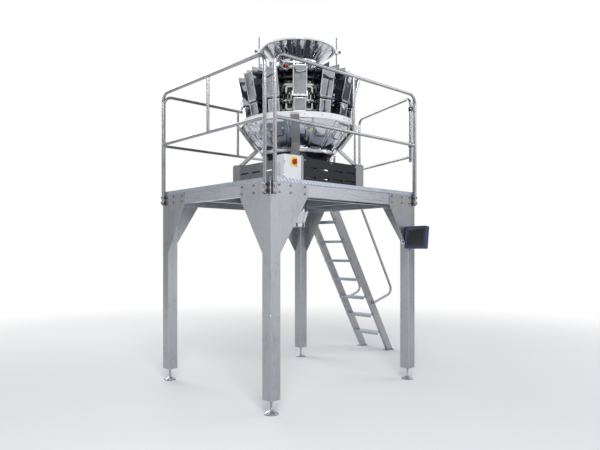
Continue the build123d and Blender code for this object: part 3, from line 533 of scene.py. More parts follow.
# %% Metals
# Each line gives the name, a warm and a cool tint, how many patches there are to a metre, the
# grain along x, y and z, the limits of the roughness, and the depth of the grain in metres. Some
# also give the streaks along x, y and z, or how fine the noise of the grain is.
post_steel = steel(
    "satin steel, upright grain", (0.365, 0.375, 0.39), (0.425, 0.44, 0.465), 2.2, (90, 90, 2.5),
    (0.26, 0.44), 0.0003, (60, 60, 16),
)
beam_steel = steel(
    "satin steel, level grain", (0.385, 0.40, 0.44), (0.475, 0.495, 0.54), 2.6, (2.5, 2.5, 90),
    (0.24, 0.42), 0.0003, (9, 9, 60),
)
stair_steel = steel(
    "satin steel, cross grain", (0.38, 0.385, 0.395), (0.44, 0.45, 0.465), 3.0, (60, 60, 60),
    (0.30, 0.42), 0.0001,
)
tube_steel = steel(
    "polished tube", (0.31, 0.315, 0.33), (0.38, 0.385, 0.405), 3.0, (120, 120, 120),
    (0.14, 0.26), 0.0001,
)
teeth_steel = steel(
    "pressed plank edge", (0.385, 0.425, 0.495), (0.435, 0.475, 0.555), 3.0, (90, 90, 90),
    (0.30, 0.40), 0.0001,
)
mirror_steel = steel(
    "mirror-polished sheet", (0.255, 0.26, 0.28), (0.35, 0.365, 0.395), 2.0, (9, 9, 9),
    (0.04, 0.09), 0.0040, fine=0.5,
)
rim_steel = steel(
    "bright rim", (0.53, 0.535, 0.55), (0.60, 0.61, 0.63), 2.0, (40, 40, 40),
    (0.18, 0.27), 0.0003, fine=1.0,
)
chute_steel = steel(
    "bright rolled sheet", (0.54, 0.55, 0.565), (0.67, 0.685, 0.715), 3.0, (11, 11, 7),
    (0.07, 0.17), 0.0065, fine=1.0,
)
deck_steel = steel(
    "galvanised plank", (0.37, 0.405, 0.46), (0.45, 0.49, 0.55), 3.0, (60, 60, 60),
    (0.34, 0.50), 0.0002,
)
strut_steel = steel(
    "bead-blasted strut", (0.27, 0.275, 0.28), (0.32, 0.325, 0.335), 3.0, (300, 300, 300),
    (0.38, 0.52), 0.0001,
)
bolt_steel = steel(
    "turned steel", (0.50, 0.505, 0.52), (0.58, 0.59, 0.61), 8.0, (200, 200, 200),
    (0.22, 0.32), 0.00002,
)
# A darker steel for the corner bolts: painted shade.
painted_shade_bolt_steel = steel(
    "bolt steel with painted shade", (0.19, 0.195, 0.205), (0.26, 0.265, 0.28), 8.0, (200, 200, 200),
    (0.34, 0.46), 0.00002,
)
# The front face of this panel steel gets painted shade further down.
panel_steel_with_painted_shade = steel(
    "bead-blasted panel with painted shade", (0.17, 0.175, 0.185), (0.22, 0.225, 0.24), 3.0, (300, 300, 300),
    (0.42, 0.56), 0.0001,
)
print("metals:", len(bpy.data.materials))

# %% Paints and plastics
white_paint = lacquer("white lacquer", (0.76, 0.775, 0.795), (0.70, 0.715, 0.74), 0.38, 0.2)
pale_plastic = lacquer("white plastic", (0.78, 0.78, 0.76), (0.70, 0.70, 0.69), 0.45)
dark_paint = lacquer("dark housing paint", (0.030, 0.034, 0.045), (0.014, 0.016, 0.022), 0.42, 0.1)
black_plastic = lacquer("black plastic", (0.022, 0.022, 0.025), (0.012, 0.012, 0.014), 0.50)
# Rubber for the feet; the same near black also serves as painted shade in the holes of the deck and treads.
rubber_and_hole_shade = lacquer("rubber_and_hole_shade", (0.030, 0.030, 0.032), (0.020, 0.020, 0.021), 0.75)
red_plastic = lacquer("red plastic", (0.50, 0.018, 0.018), (0.39, 0.012, 0.012), 0.30, 0.3)
green_plastic = lacquer("green plastic", (0.03, 0.30, 0.10), (0.02, 0.22, 0.07), 0.30, 0.3)
yellow_plastic = lacquer("yellow plastic", (0.90, 0.72, 0.03), (0.80, 0.62, 0.02), 0.35, 0.2)
navy_plastic = lacquer("navy plastic", (0.026, 0.041, 0.090), (0.018, 0.030, 0.068), 0.40, 0.2)
screen_glass = lacquer("screen glass", (0.024, 0.026, 0.028), (0.017, 0.019, 0.021), 0.22, 0.2)
print("materials:", len(bpy.data.materials))

# %% [markdown]
# ## Finishes for the CAD nodes
# A CAD node whose shape is right stays and only changes its material. The list below names the
# nodes under each finish. The weigh hoppers' gates are mirror-polished too, and a node that isn't
# named gets the satin steel of the posts. The front panel of the base is the same sheet with painted
# shade on it: its material looks at y and mixes a darker colour in front of a plane, standing in for shade.

# %% Painted shade on the front panel of the base
front_panel_y = axis_y - 0.50
base_tree = panel_steel_with_painted_shade.node_tree
where = new_node(base_tree, "ShaderNodeTexCoord").outputs["Object"]
panel_y = new_node(base_tree, "ShaderNodeSeparateXYZ", {0: where}).outputs["Y"]
in_painted_shade = new_node(base_tree, "ShaderNodeMath", {0: panel_y, 1: front_panel_y}, operation="LESS_THAN")
base_colour = base_tree.nodes["Principled BSDF"].inputs["Base Color"]
# Painted shade: in front of the plane the sheet's own colour gives way to a near black.
painted_shade_inputs = {
    "Factor": in_painted_shade.outputs[0],
    "A": base_colour.links[0].from_socket,
    "B": (0.040, 0.042, 0.046, 1),
}
painted_shade_mix = new_node(base_tree, "ShaderNodeMix", painted_shade_inputs, data_type="RGBA")
base_tree.links.new(painted_shade_mix.outputs["Result"], base_colour)
print("front panel darkened below y =", round(front_panel_y, 3))

# %% Assign the finishes
finishes = {
    beam_steel: ["beam_front", "beam_back", "beam_left", "beam_right", "deck_joists"],
    stair_steel: ["stair_stringers"],
    tube_steel: [
        "guardrail_left", "guardrail_front", "guardrail_back", "gate_post", "access_gate", "stair_handrails",
    ],
    deck_steel: ["deck_planks", "stair_treads"],
    black_plastic: ["rail_clamps"],
    panel_steel_with_painted_shade: ["base_panels"],
    strut_steel: ["support_struts", "base_pedestals"],
    white_paint: ["chute_ring", "control_cabinet", "button_box", "funnel_carrier"],
    chute_steel: [
        "discharge_chutes", "collecting_funnel", "discharge_spout", "dispersion_cone", "infeed_funnel",
    ],
    mirror_steel: ["feed_hoppers", "feed_gates", "weigh_hoppers", "feeder_pans"],
    dark_paint: ["central_housing", "drive_units", "feeder_drives"],
    red_plastic: ["clamp_knobs", "isolator_knob"],
    yellow_plastic: ["isolator_plate"],
    navy_plastic: ["hmi_panel"],
    bolt_steel: ["levelling_feet", "infeed_rods"],
}
finish_of = {name: finish for finish, names in finishes.items() for name in names}
for name, node in nodes.items():
    if name.startswith("weigh_gate"):
        finish_of[name] = mirror_steel
    for material_slot in node.material_slots:
        material_slot.material = finish_of.get(name, post_steel)
print("finished nodes:", len(nodes))

# %% [markdown]
# ## Floor
# The floor is one pale disc. Near the machine it is a matt surface that takes shadows. Further
# out it turns to plain white, by the distance from its own middle, so that no edge shows.

# %% Floor
floor_reach = 40.0
floor_drop = 0.0005
floor_material, floor_tree, floor_shader = new_material("floor", (0.86, 0.87, 0.88), 0.0, 0.9)
where = new_node(floor_tree, "ShaderNodeTexCoord").outputs["Object"]
from_middle = {0: where, 1: (axis_x, axis_y, 0)}
distance = new_node(floor_tree, "ShaderNodeVectorMath", from_middle, operation="DISTANCE")
limits = {"Value": distance.outputs["Value"], "From Min": 2.6, "From Max": 9.0}
fade = new_node(floor_tree, "ShaderNodeMapRange", limits, interpolation_type="SMOOTHSTEP")
white = new_node(floor_tree, "ShaderNodeEmission", {"Strength": 1.0})
near_and_far = {"Fac": fade.outputs["Result"], 1: floor_shader.outputs[0], 2: white.outputs[0]}
floor_mix = new_node(floor_tree, "ShaderNodeMixShader", near_and_far)
floor_tree.links.new(floor_mix.outputs[0], floor_tree.nodes["Material Output"].inputs["Surface"])


def stage_piece(name, rings, material):
    """A piece of the studio between two rings of points. It isn't part of the machine."""
    points, faces = grid_shape(np.stack(rings), round_columns=True)
    mesh = bpy.data.meshes.new(name)
    mesh.from_pydata(points.tolist(), [], faces.tolist())
    mesh.materials.append(material)
    piece = bpy.data.objects.new(name, mesh)
    bpy.context.scene.collection.objects.link(piece)
    print(name, len(faces), "faces, not part of the machine")
    return piece


floor_rim = at_level(round_outline(floor_reach, 64), 0)
floor_middle = np.array([axis_x, axis_y, -floor_drop])
stage_piece("floor", [floor_middle + 0 * floor_rim, floor_middle + floor_rim], floor_material)

# %% [markdown]
# ## Cards round the studio
# A white room alone makes polished tube vanish. A photographer of steel hangs white and grey cards
# round it, so that every tube gets a bright middle and darker edges. Here the cards are one drum
# that only reflections see. Its brightness is a ramp over the bearing, worked out from the drum's
# own coordinates, and it is white wherever a flat side of the frame reflects it to the camera.

# %% Card drum
drum_r, drum_height = 9.5, 8.0
card_stops = [
    (0.00, 0.90), (0.035, 0.14), (0.075, 0.14), (0.13, 0.90), (0.31, 1.15), (0.38, 1.15), (0.43, 0.20),
    (0.47, 0.20), (0.53, 1.00), (0.62, 1.00), (0.70, 0.95), (0.75, 0.14), (0.80, 0.14), (0.85, 0.88),
    (0.92, 0.92),
]
cards, card_tree = new_material("cards", (0.5, 0.5, 0.5), 0.0, 0.9)[:2]
where = new_node(card_tree, "ShaderNodeTexCoord").outputs["Object"]
bearing_share = new_node(card_tree, "ShaderNodeTexGradient", {"Vector": where}, gradient_type="RADIAL")
card_colours = [(place, (light, light, light * 1.02)) for place, light in card_stops]
card_shade = ramp(card_tree, bearing_share.outputs["Color"], *card_colours)
card_light = new_node(card_tree, "ShaderNodeEmission", {"Color": card_shade, "Strength": 1.0})
card_tree.links.new(card_light.outputs[0], card_tree.nodes["Material Output"].inputs["Surface"])

card_ring = round_outline(drum_r, 96)
drum = stage_piece("card drum", [at_level(card_ring, level) for level in (0.0, drum_height)], cards)
drum.visible_camera = drum.visible_diffuse = drum.visible_shadow = drum.visible_transmission = False
print("card stops:", len(card_stops))

# %% [markdown]
# ## Levelling feet
# A machine foot is a pressed steel pad with ribs on a rubber ring, a threaded spindle and a lock
# nut. The pad is a profile turned about the spindle whose height is raised along twelve ribs by a
# cosine. The thread is a cylinder whose radius dips by a triangle wave that climbs as it goes
# round. The CAD foot stays for collisions, and the finer one is shown in its place.

# %% Feet
post_width = 0.120
foot_centres = [
    (x, y, 0.0)
    for x in (left_x + post_width / 2, right_x - post_width / 2)
    for y in (front_y + post_width / 2, back_y - post_width / 2)
]
foot_height = platform_low.z
pad_r = 0.065


def ribbed_pad(ribs=12, rib_height=0.003, count=72):
    """A turned pad: on its slope the height gains a rib times the cosine of ribs times the angle."""
    profile = np.array([
        (0, 0), (0.060, 0), (pad_r, 0.004), (pad_r, 0.010), (0.053, 0.015), (0.041, 0.020),
        (0.029, 0.026), (0.020, 0.034), (0.0, 0.034),
    ])
    slope = np.array([0, 0, 0, 0, 1, 1, 0.3, 0, 0])
    angle = np.linspace(0, 2 * np.pi, count, endpoint=False)[:, None]
    level = profile[:, 1] + rib_height * slope * (0.5 + 0.5 * np.cos(ribs * angle))
    return grid_shape(polar_grid(angle, profile[:, 0], level), round_rows=True)


def threaded(radius, pitch, low, high, per_turn=5, count=20):
    """A screw thread: the radius dips by a triangle wave of height over pitch less the turn's share."""
    level = np.linspace(low, high, int((high - low) / pitch * per_turn))[:, None]
    angle = np.linspace(0, 2 * np.pi, count, endpoint=False)[None, :]
    phase = (level / pitch - angle / (2 * np.pi)) % 1
    reach = radius - 0.55 * pitch * np.abs(2 * phase - 1)
    ends = [np.broadcast_to(np.array([0, 0, z]), (1, count, 3)) for z in (low, high)]
    grid = np.concatenate([ends[0], polar_grid(angle, reach, level), ends[1]])
    return grid_shape(grid, round_columns=True)


foot_frames = upright(foot_centres)
pads = make_piece("foot_pads", ribbed_pad(), foot_frames, bolt_steel, crisp=60)
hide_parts("levelling_feet")
lock_nut = bar(hex_outline(0.038), foot_height - 0.018, foot_height, 0.002)
spindle = joined(threaded(0.012, 0.003, 0.030, foot_height - 0.004), lock_nut)
make_piece("foot_spindles", spindle, foot_frames, bolt_steel)
foot_ring = turned([(0.056, 0), (0.0648, 0.0), (0.0656, 0.002), (0.0648, 0.006), (0.056, 0.006)])
make_piece("foot_rubbers", foot_ring, foot_frames, rubber_and_hole_shade)

# %% [markdown]
# ## Bolted corner plates and weld seams
# Each post is joined to the beams by two plates with six bolts each. The bolts are given a darker
# steel than the plates, which is painted shade. A lengthened post also shows a ground weld seam round it.
# A bolt here is two stacked outlines, a round washer and a hexagon, and one call scatters it to all
# forty-eight places with arrays.

# %% Corner bolts and leg seams
bolt_steps = np.array([0.105, 0.24, 0.42])
bolt_rows = np.array([beam_top - 0.092, beam_top - 0.026])


def corner_frames(corner, inward_x, inward_y):
    """Frames for one post's bolts: three steps by two rows on each of its two outer faces."""
    step, level = (grid.ravel() for grid in np.meshgrid(bolt_steps, bolt_rows))
    flat = np.zeros_like(step)
    along_x = np.stack([corner[0] + inward_x * step, flat + corner[1], level], axis=1)
    along_y = np.stack([flat + corner[0], corner[1] + inward_y * step, level], axis=1)
    return np.concatenate([
        places(along_x, (inward_x, 0, 0), (0, -inward_y, 0)),
        places(along_y, (0, inward_y, 0), (-inward_x, 0, 0)),
    ])


corners = [
    ((left_x, front_y), 1, 1),
    ((right_x, front_y), -1, 1),
    ((left_x, back_y), 1, -1),
    ((right_x, back_y), -1, -1),
]
corner_bolt_frames = np.concatenate([corner_frames(*corner) for corner in corners])
corner_bolt = bolt(0.018, 0.008, 0.013)
make_piece("corner_bolts", corner_bolt, corner_bolt_frames, painted_shade_bolt_steel)

seam_height = 0.895
seam = hoop(round_outline(0.0014, 8), box_outline(post_width, post_width, 0.008), seam_height)
make_piece("leg_weld_seams", seam, foot_frames, bolt_steel)

# %% [markdown]
# ## Deck
# The planks are pressed channels. Their ends show a slanting saw-tooth, and their tops have rows
# of raised holes that grip a shoe and let water through. The saw-tooth is a strip whose depth is a
# triangle wave along the edge, shifted with height so that the folds slant. A raised hole is a
# small turned crater with a near-black disc in it, which is painted shade for the dark seen through the
# hole.

# %% Saw-tooth ends of the planks
tooth_pitch = 0.042
tooth_depth = 0.006
strip_height = 0.038


def tooth_strip(face_y, outward):
    """A folded strip: its depth is a triangle wave of the distance along it plus its height."""
    x = np.linspace(left_x, right_x, int((right_x - left_x) / tooth_pitch * 8))[None, :]
    z = np.linspace(deck_top - strip_height, deck_top + 0.0004, 6)[:, None]
    phase = (x / tooth_pitch + (z - deck_top) / strip_height * 0.8) % 1
    depth = 0.001 + tooth_depth * np.abs(2 * phase - 1)
    x, z = np.broadcast_arrays(x, z)
    front = np.stack([x, face_y + outward * depth, z], axis=-1)
    back = np.stack([x, np.full_like(x, face_y - outward * 0.001), z], axis=-1)
    return plate(front, back)


teeth = joined(tooth_strip(front_y, -1), tooth_strip(back_y, 1))
make_piece("plank_teeth", teeth, None, teeth_steel, crisp=20)

# %% Raised holes of the deck
plank_count = 8
plank_pitch = (right_x - left_x) / plank_count
base_half = 0.53
clear_of_walls = 0.020
boss_profile = [(0.0075, 0.0), (0.0075, 0.0020), (0.0090, 0.0032), (0.0105, 0.0030), (0.0150, 0.0)]


def boss_grid(x_places, y_places, level):
    """Places for raised holes: every x with every y, each second column moved by half a step."""
    step = y_places[1] - y_places[0]
    x, y = np.meshgrid(x_places, y_places, indexing="ij")
    y = y + (np.arange(len(x_places)) % 2)[:, None] * step / 2
    return np.stack([x, y, np.full_like(x, level)], axis=-1).reshape(-1, 3)


plank_middles = left_x + (np.arange(plank_count) + 0.5) * plank_pitch
columns = (plank_middles[:, None] + np.array([-0.085, 0.0, 0.085])).ravel()
deck_bosses = boss_grid(columns, np.arange(front_y + 0.05, back_y - 0.07, 0.08), deck_top)
boss_xy = deck_bosses[:, :2]
under_base = np.max(np.abs(boss_xy - (axis_x, axis_y)), axis=1) < base_half + clear_of_walls
cabinet_low, cabinet_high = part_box("control_cabinet")
past_low = boss_xy > np.array(cabinet_low[:2]) - clear_of_walls
before_high = boss_xy < np.array(cabinet_high[:2]) + clear_of_walls
deck_bosses = deck_bosses[~under_base & ~np.all(past_low & before_high, axis=1)]

boss = turned(boss_profile, 12)
# The near-black disc in each hole is painted shade for the dark seen through it.
hole = stacked(round_outline(0.0078, 12), [(0, -0.0005), (0, 0.0004)])
make_piece("deck_grip", boss, upright(deck_bosses), deck_steel, crisp=60)
make_piece("deck_hole_shade", hole, upright(deck_bosses), rubber_and_hole_shade)

# %% [markdown]
# ## Stair
# The treads are the same pressed sheet as the deck, bolted between two sloping stringers that
# stand on foot plates. The places follow the stair's pitch: seven treads share the height up to
# the deck in eight equal rises.

# %% Stair details
stair_angle = math.radians(60)
stair_slope = math.tan(stair_angle)
tread_count = 7
tread_rise = deck_top / (tread_count + 1)
stringer_y = (1.288, 1.792)
stringer_half = 0.020
stringer_foot_x = right_x + (deck_top - 0.078) / stair_slope
stringer_level_depth = 0.100 / math.sin(stair_angle)


def stair_middle_x(level):
    """The x of the stringer's middle at a height."""
    return stringer_foot_x + stringer_level_depth / 2 - level / stair_slope


def level_corners(middle, half_x, half_y):
    """The four corners of a level rectangle about a point."""
    return [np.array(middle) + (x, y, 0) for x in (-half_x, half_x) for y in (-half_y, half_y)]


tread_levels = tread_rise * np.arange(1, tread_count + 1)
tread_spots = np.stack(
    np.meshgrid([-0.055, 0.0, 0.055], np.arange(1.34, 1.76, 0.075), indexing="ij"), axis=-1
).reshape(-1, 2)
tread_bosses = np.concatenate([
    np.column_stack([stair_middle_x(z) + tread_spots[:, 0], tread_spots[:, 1], np.full(len(tread_spots), z)])
    for z in tread_levels
])
make_piece("tread_grip", boss, upright(tread_bosses), deck_steel, crisp=60)
# The same near-black discs are painted shade in the treads' holes.
make_piece("tread_hole_shade", hole, upright(tread_bosses), rubber_and_hole_shade)

side_bolts = []
for y, outward in ((stringer_y[0] - stringer_half, -1), (stringer_y[1] + stringer_half, 1)):
    spots = [(stair_middle_x(z) + dx, y, z - 0.015) for z in tread_levels for dx in (-0.018, 0.022)]
    side_bolts.append(places(spots, (1, 0, 0), (0, outward, 0)))
small_bolt = bolt(0.013, 0.006, 0.010)
make_piece("tread_bolts", small_bolt, np.concatenate(side_bolts), bolt_steel)

plate_top = 0.008
foot_plate = stacked(box_outline(0.150, 0.100, 0.006), [(0, 0), (0, plate_top - 0.001), (0.001, plate_top)])
plate_x = stair_middle_x(0) - 0.018
stair_plates = upright([(plate_x, y, 0.0) for y in stringer_y])
make_piece("stair_foot_plates", foot_plate, stair_plates, stair_steel)
anchors = [spot for y in stringer_y for spot in level_corners((plate_x, y, plate_top), 0.055, 0.035)]
make_piece("stair_anchors", bolt(0.017, 0.008, 0.013), upright(anchors), bolt_steel)

# %% [markdown]
# ## Guard rails
# The rails are polished tube. Where one tube meets another a welder leaves a small ring of bead,
# and each post is held to the platform by clamps: a black plastic saddle behind the tube and a steel strap
# round its front, with two socket screws. The saddle's black also stands for the shade in the gap
# behind the post, which is painted shade. Beads are rings turned about the tube they run round,
# placed by the direction of that tube.

# %% Weld rings
tube_r = 0.01685
rail_top = deck_top + 1.100
mid_rail = deck_top + 0.530
low_bar = rail_top - 0.680
standoff = 0.024
left_rail_x = left_x - standoff
front_rail_y = front_y - standoff
back_rail_y = back_y + standoff
post_left, post_right = left_x + 0.030, right_x - 0.030
side_front, side_back = front_y + 0.050, back_y - 0.050

weld_spots = [
    ((x, y, mid_rail), (1, 0, 0))
    for y in (front_rail_y, back_rail_y)
    for x in (post_left + tube_r, post_right - tube_r)
]
weld_spots += [((left_rail_x, y, mid_rail), (0, 1, 0)) for y in (side_front + tube_r, side_back - tube_r)]
middle_posts = [((post_left + post_right) / 2, y) for y in (front_rail_y, back_rail_y)]
middle_posts.append((left_rail_x, (side_front + side_back) / 2))
weld_spots += [
    ((x, y, z), (0, 0, 1)) for x, y in middle_posts for z in (mid_rail + tube_r, rail_top - tube_r)
]
weld_origins, weld_directions = (np.array(column, float) for column in zip(*weld_spots))
weld_frames = places(weld_origins, np.roll(weld_directions, 1, axis=1), weld_directions)
weld_ring = round_bead(0.0166, 0.0, 0.0022, 28)
make_piece("rail_welds", weld_ring, weld_frames, rim_steel)

hinge_x, hinge_y = joint_places["access_gate_hinge"][:2]
gate_bearing = math.radians(71.2)
gate_along = np.array([math.cos(gate_bearing), math.sin(gate_bearing), 0.0])
gate_weld = places(np.array([hinge_x, hinge_y, low_bar]) + gate_along * tube_r, up, gate_along)
make_piece("gate_weld", weld_ring, gate_weld, rim_steel, body="access_gate")

# %% Rail clamps, caps and hinge bolts
stair_post_y = (1.240, 1.840)
clamped_posts = [(left_rail_x, y, (-1, 0, 0)) for y in (side_front, side_back)]
clamped_posts += [
    (x, y, (0, side, 0))
    for y, side in ((front_rail_y, -1), (back_rail_y, 1))
    for x in (post_left, post_right)
]
clamped_posts += [(right_x + standoff, y, (1, 0, 0)) for y in (front_y + 0.030, *stair_post_y)]
clamp_levels = (deck_top - 0.066, deck_top - 0.126)
clamp_face = tube_r + 0.0018
clamp_end = standoff + clamp_face
screw_side = 0.0155
clamp_frames, screw_frames = [], []
for x, y, outward in clamped_posts:
    outward = np.array(outward, float)
    sides = [np.cross(up, outward) * s for s in (-screw_side, screw_side)]
    middles = np.array([(x, y, z) for z in clamp_levels])
    clamp_frames.append(facing(middles - outward * standoff, outward))
    spots = [middle + outward * clamp_face + side for middle in middles for side in sides]
    screw_frames.append(facing(spots, outward))
clamp_frames = np.concatenate(clamp_frames)
screw_frames = np.concatenate(screw_frames)
clamp_outline = box_outline(0.046, 0.026, 0.004)
saddle = bar(clamp_outline, 0, standoff - 0.0002, 0.001)
strap = stacked(
    clamp_outline,
    [(0.001, standoff + 0.0002), (0, standoff + 0.0012), (0, clamp_end - 0.002), (0.002, clamp_end)],
)
# The saddle's black plastic also stands for the shade in the gap behind the post: painted shade.
clamps = make_piece("rail_clamp_saddles_shade", saddle, clamp_frames, black_plastic)
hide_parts("rail_clamps")
make_piece("rail_clamp_straps", strap, clamp_frames, tube_steel)
make_piece("clamp_screws", dome_screw(0.0048, 0.003), screw_frames, bolt_steel)

post_foot = deck_top - 0.148
cap_frames = places([(x, y, post_foot) for x, y, outward in clamped_posts], (1, 0, 0), -up)
cap_layers = [(0, -0.001), (0, 0.002), (0.002, 0.0045), (0.006, 0.006)]
cap = stacked(round_outline(tube_r - 0.0003, 28), cap_layers)
make_piece("post_caps", cap, cap_frames, black_plastic, crisp=50)

block_places = [(side, z) for z in (rail_top - 0.550, rail_top - 0.130) for side in (-1, 1)]
block_spots = [(hinge_x + side * 0.027, hinge_y - 0.025, z) for side, z in block_places]
block_frames = places(block_spots, up, [(side, 0, 0) for side, z in block_places])
make_piece("hinge_bolts", small_bolt, block_frames, bolt_steel)

# %% [markdown]
# ## Base and struts
# The weigher stands on four pedestals closed by slotted panels. Kneed legs rise from bolted foot
# plates on the pedestals, go in round the waist of the chutes and out again to the ring.

# %% Base screws, foot plates and bolts
pedestal_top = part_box("base_pedestals")[1].z
pedestal_at = base_half - 0.065
panel_screws = []
for out, along in zip(*bearings(np.arange(4) * math.pi / 2)):
    centre = np.array([axis_x, axis_y, deck_top]) + out * base_half
    spots = [centre + along * s + up * z for s in (-0.385, 0.0, 0.385) for z in (0.022, 0.268)]
    panel_screws.append(facing(spots, out))
plate_screw = dome_screw(0.007, 0.004)
make_piece("panel_screws", plate_screw, np.concatenate(panel_screws), bolt_steel)

strut_feet = level_corners((axis_x, axis_y, pedestal_top), pedestal_at, pedestal_at)
foot_flange = stacked(box_outline(0.118, 0.118, 0.010), [(0, 0), (0, plate_top - 0.001), (0.001, plate_top)])
make_piece("strut_foot_plates", foot_flange, upright(strut_feet), strut_steel)
foot_bolts = [spot for foot in strut_feet for spot in level_corners(foot + up * plate_top, 0.046, 0.046)]
make_piece("strut_foot_bolts", bolt(0.015, 0.007, 0.011), upright(foot_bolts), bolt_steel)

# %% [markdown]
# ## Ring, chutes and funnel
# The ring is a painted band with a rolled edge and a row of screws. Below it the fourteen chutes
# meet in folded seams that stand proud of the sheet. Each chute has a pressed field with a curved
# lower edge, and lifts out by a wire handle. A clamp band with toggles holds the funnel under them.
# The pressed field is one sheet over u and v: a soft step near its border times a wide crown.

# %% Ring beads and screws
ring_r = (ring_high.x - ring_low.x) / 2
ring_middle = (ring_low.z + ring_high.z) / 2
bead_levels = (ring_low.z + 0.001, ring_high.z - 0.001)
ring_beads = joined(*[round_bead(ring_r - 0.002, level, 0.0035, 96) for level in bead_levels])
weigher_frame = upright((axis_x, axis_y, 0.0))
make_piece("ring_beads", ring_beads, weigher_frame, white_paint, crisp=80)
ring_screw_angles = np.concatenate([head_angles - 0.35 * half_step, head_angles + 0.35 * half_step])
ring_screw_frames = around(ring_screw_angles, ring_r, ring_middle)
make_piece("ring_screws", dome_screw(0.008, 0.005), ring_screw_frames, bolt_steel)

# %% Fields and seams of the chutes
chute_low_r, chute_low_z = 0.403, 2.552
chute_high_r, chute_high_z = 0.643, 2.857
chute_run, chute_climb = chute_high_r - chute_low_r, chute_high_z - chute_low_z
chute_slope = math.hypot(chute_run, chute_climb)
chute_lean = math.atan2(chute_run, chute_climb)
chute_middle_r = (chute_low_r + chute_high_r) / 2
chute_middle_z = (chute_low_z + chute_high_z) / 2


def soft_step(distance):
    """Rises from 0 to 1 as the distance goes from 0 to 1: three of its square less two of its cube."""
    share = np.clip(distance, 0, 1)
    return share * share * (3 - 2 * share)


def pressed_chute(low_width, high_width, length, step, crown, sag, columns=25, rows=29):
    """A tapering sheet: a soft step near its border plus a crown, and a foot that sags as a parabola."""
    u, v = np.meshgrid(np.linspace(-1, 1, columns), np.linspace(-1, 1, rows), indexing="ij")
    width = low_width + (high_width - low_width) * (v + 1) / 2
    field = soft_step((1 - np.abs(u)) * width / 0.036) * soft_step((1 - np.abs(v)) * length / 0.044)
    rise = 0.0015 + step * field + crown * (1 - u**2) * (1 - v**2)
    along = v * length / 2 - sag * (1 - u**2) * (1 - v) / 2
    return flat_backed(u * width / 2, along, rise, 0.0015)


def chute_r_at(level):
    """The radius of the chutes' corners at a height, on the line from their foot to their top."""
    return chute_low_r + (level - chute_low_z) * chute_run / chute_climb


facet = math.cos(half_step)
chute_field = pressed_chute(0.158, 0.258, chute_slope - 0.062, 0.004, 0.007, 0.014)
chute_frames = around(head_angles, facet * chute_middle_r, chute_middle_z + 0.004, chute_lean)
make_piece("chute_fields", chute_field, chute_frames, chute_steel, crisp=60)

seam_bar = stacked(box_outline(0.007, chute_slope - 0.03, 0.003), [(0, -0.004), (0, 0.011), (0.002, 0.013)])
seam_frames = around(gap_angles, chute_middle_r, chute_middle_z, chute_lean)
make_piece("chute_seams", seam_bar, seam_frames, chute_steel)

# %% Handles, clamp band and bumpers
handle_width = 0.130


def wire_handle(width, depth, corner):
    """The lower half of a round-cornered outline, standing off the sheet, with its legs run up level."""
    half = box_outline(width, 2 * depth, corner, 6)(0)[12:]
    path = np.concatenate([[(-width / 2, 0)], half, [(width / 2, 0)]])
    return np.column_stack([path, np.full(len(path), 0.016)])


handle_level = 2.745
handle_frames = around(head_angles, facet * chute_r_at(handle_level) + 0.005, handle_level, chute_lean)
handle = carried(round_outline(0.0032, 8), wire_handle(handle_width, 0.075, 0.022), up)
make_piece("chute_handles", handle, handle_frames, black_plastic, crisp=80)
lug = stacked(round_outline(0.009, 16), [(0, -0.002), (0, 0.018), (0.002, 0.021)])
lugs = scattered(lug, upright([(-handle_width / 2, 0.004, 0), (handle_width / 2, 0.004, 0)]))
make_piece("handle_lugs", lugs, handle_frames, bolt_steel)

band_r = 0.4165
band_profile = [(band_r, 2.532), (band_r + 0.004, 2.534), (band_r + 0.004, 2.552), (band_r, 2.554)]
make_piece("funnel_band", turned(band_profile, 96), weigher_frame, rim_steel)
toggle = joined(
    stacked(box_outline(0.036, 0.030, 0.005), [(0, 0), (0, 0.010), (0.002, 0.012)]),
    stacked(box_outline(0.050, 0.010, 0.004), [(0, 0.010), (0, 0.016), (0.002, 0.018)]),
)
toggle_frames = around(gap_angles[::3], band_r + 0.003, 2.543)
make_piece("band_toggles", toggle, toggle_frames, bolt_steel)

bumper = stacked(round_outline(0.011, 16), [(0, 0), (0, 0.006), (0.003, 0.010), (0.007, 0.011)])
bumper_level = 2.735
bumper_frames = around(gap_angles[::2], chute_r_at(bumper_level) + 0.012, bumper_level, chute_lean)
make_piece("chute_bumpers", bumper, bumper_frames, yellow_plastic)

# %% [markdown]
# ## Hoppers
# A hopper is folded from mirror-polished sheet. Its mouth has a rolled rim, and its front has a
# flange round a smooth face. The face is a sheet over two parameters that bulges by one less the
# square of each, which bends the reflections as a real pressing does. The fourteen upper and
# fourteen lower hoppers share these functions with their own sizes.

# %% Hopper rims, flanges and faces
hopper_kinds = {
    "feed": {"width": 0.148, "foot_r": 0.630, "foot_z": 3.070, "mouth_r": (0.535, 0.700), "mouth_z": 3.360},
    "weigh": {"width": 0.132, "foot_r": 0.602, "foot_z": 2.905, "mouth_r": (0.470, 0.626), "mouth_z": 3.045},
}
flange_width = 0.012


def bulged_face(width, height, bulge, count=13):
    """A face over u and v from -1 to 1 whose rise is the bulge times (1 - u squared)(1 - v squared)."""
    u, v = np.meshgrid(np.linspace(-1, 1, count), np.linspace(-1, 1, count), indexing="ij")
    rise = 0.0012 + bulge * (1 - u**2) * (1 - v**2)
    return flat_backed(u * width / 2, v * height / 2, rise, 0.001)


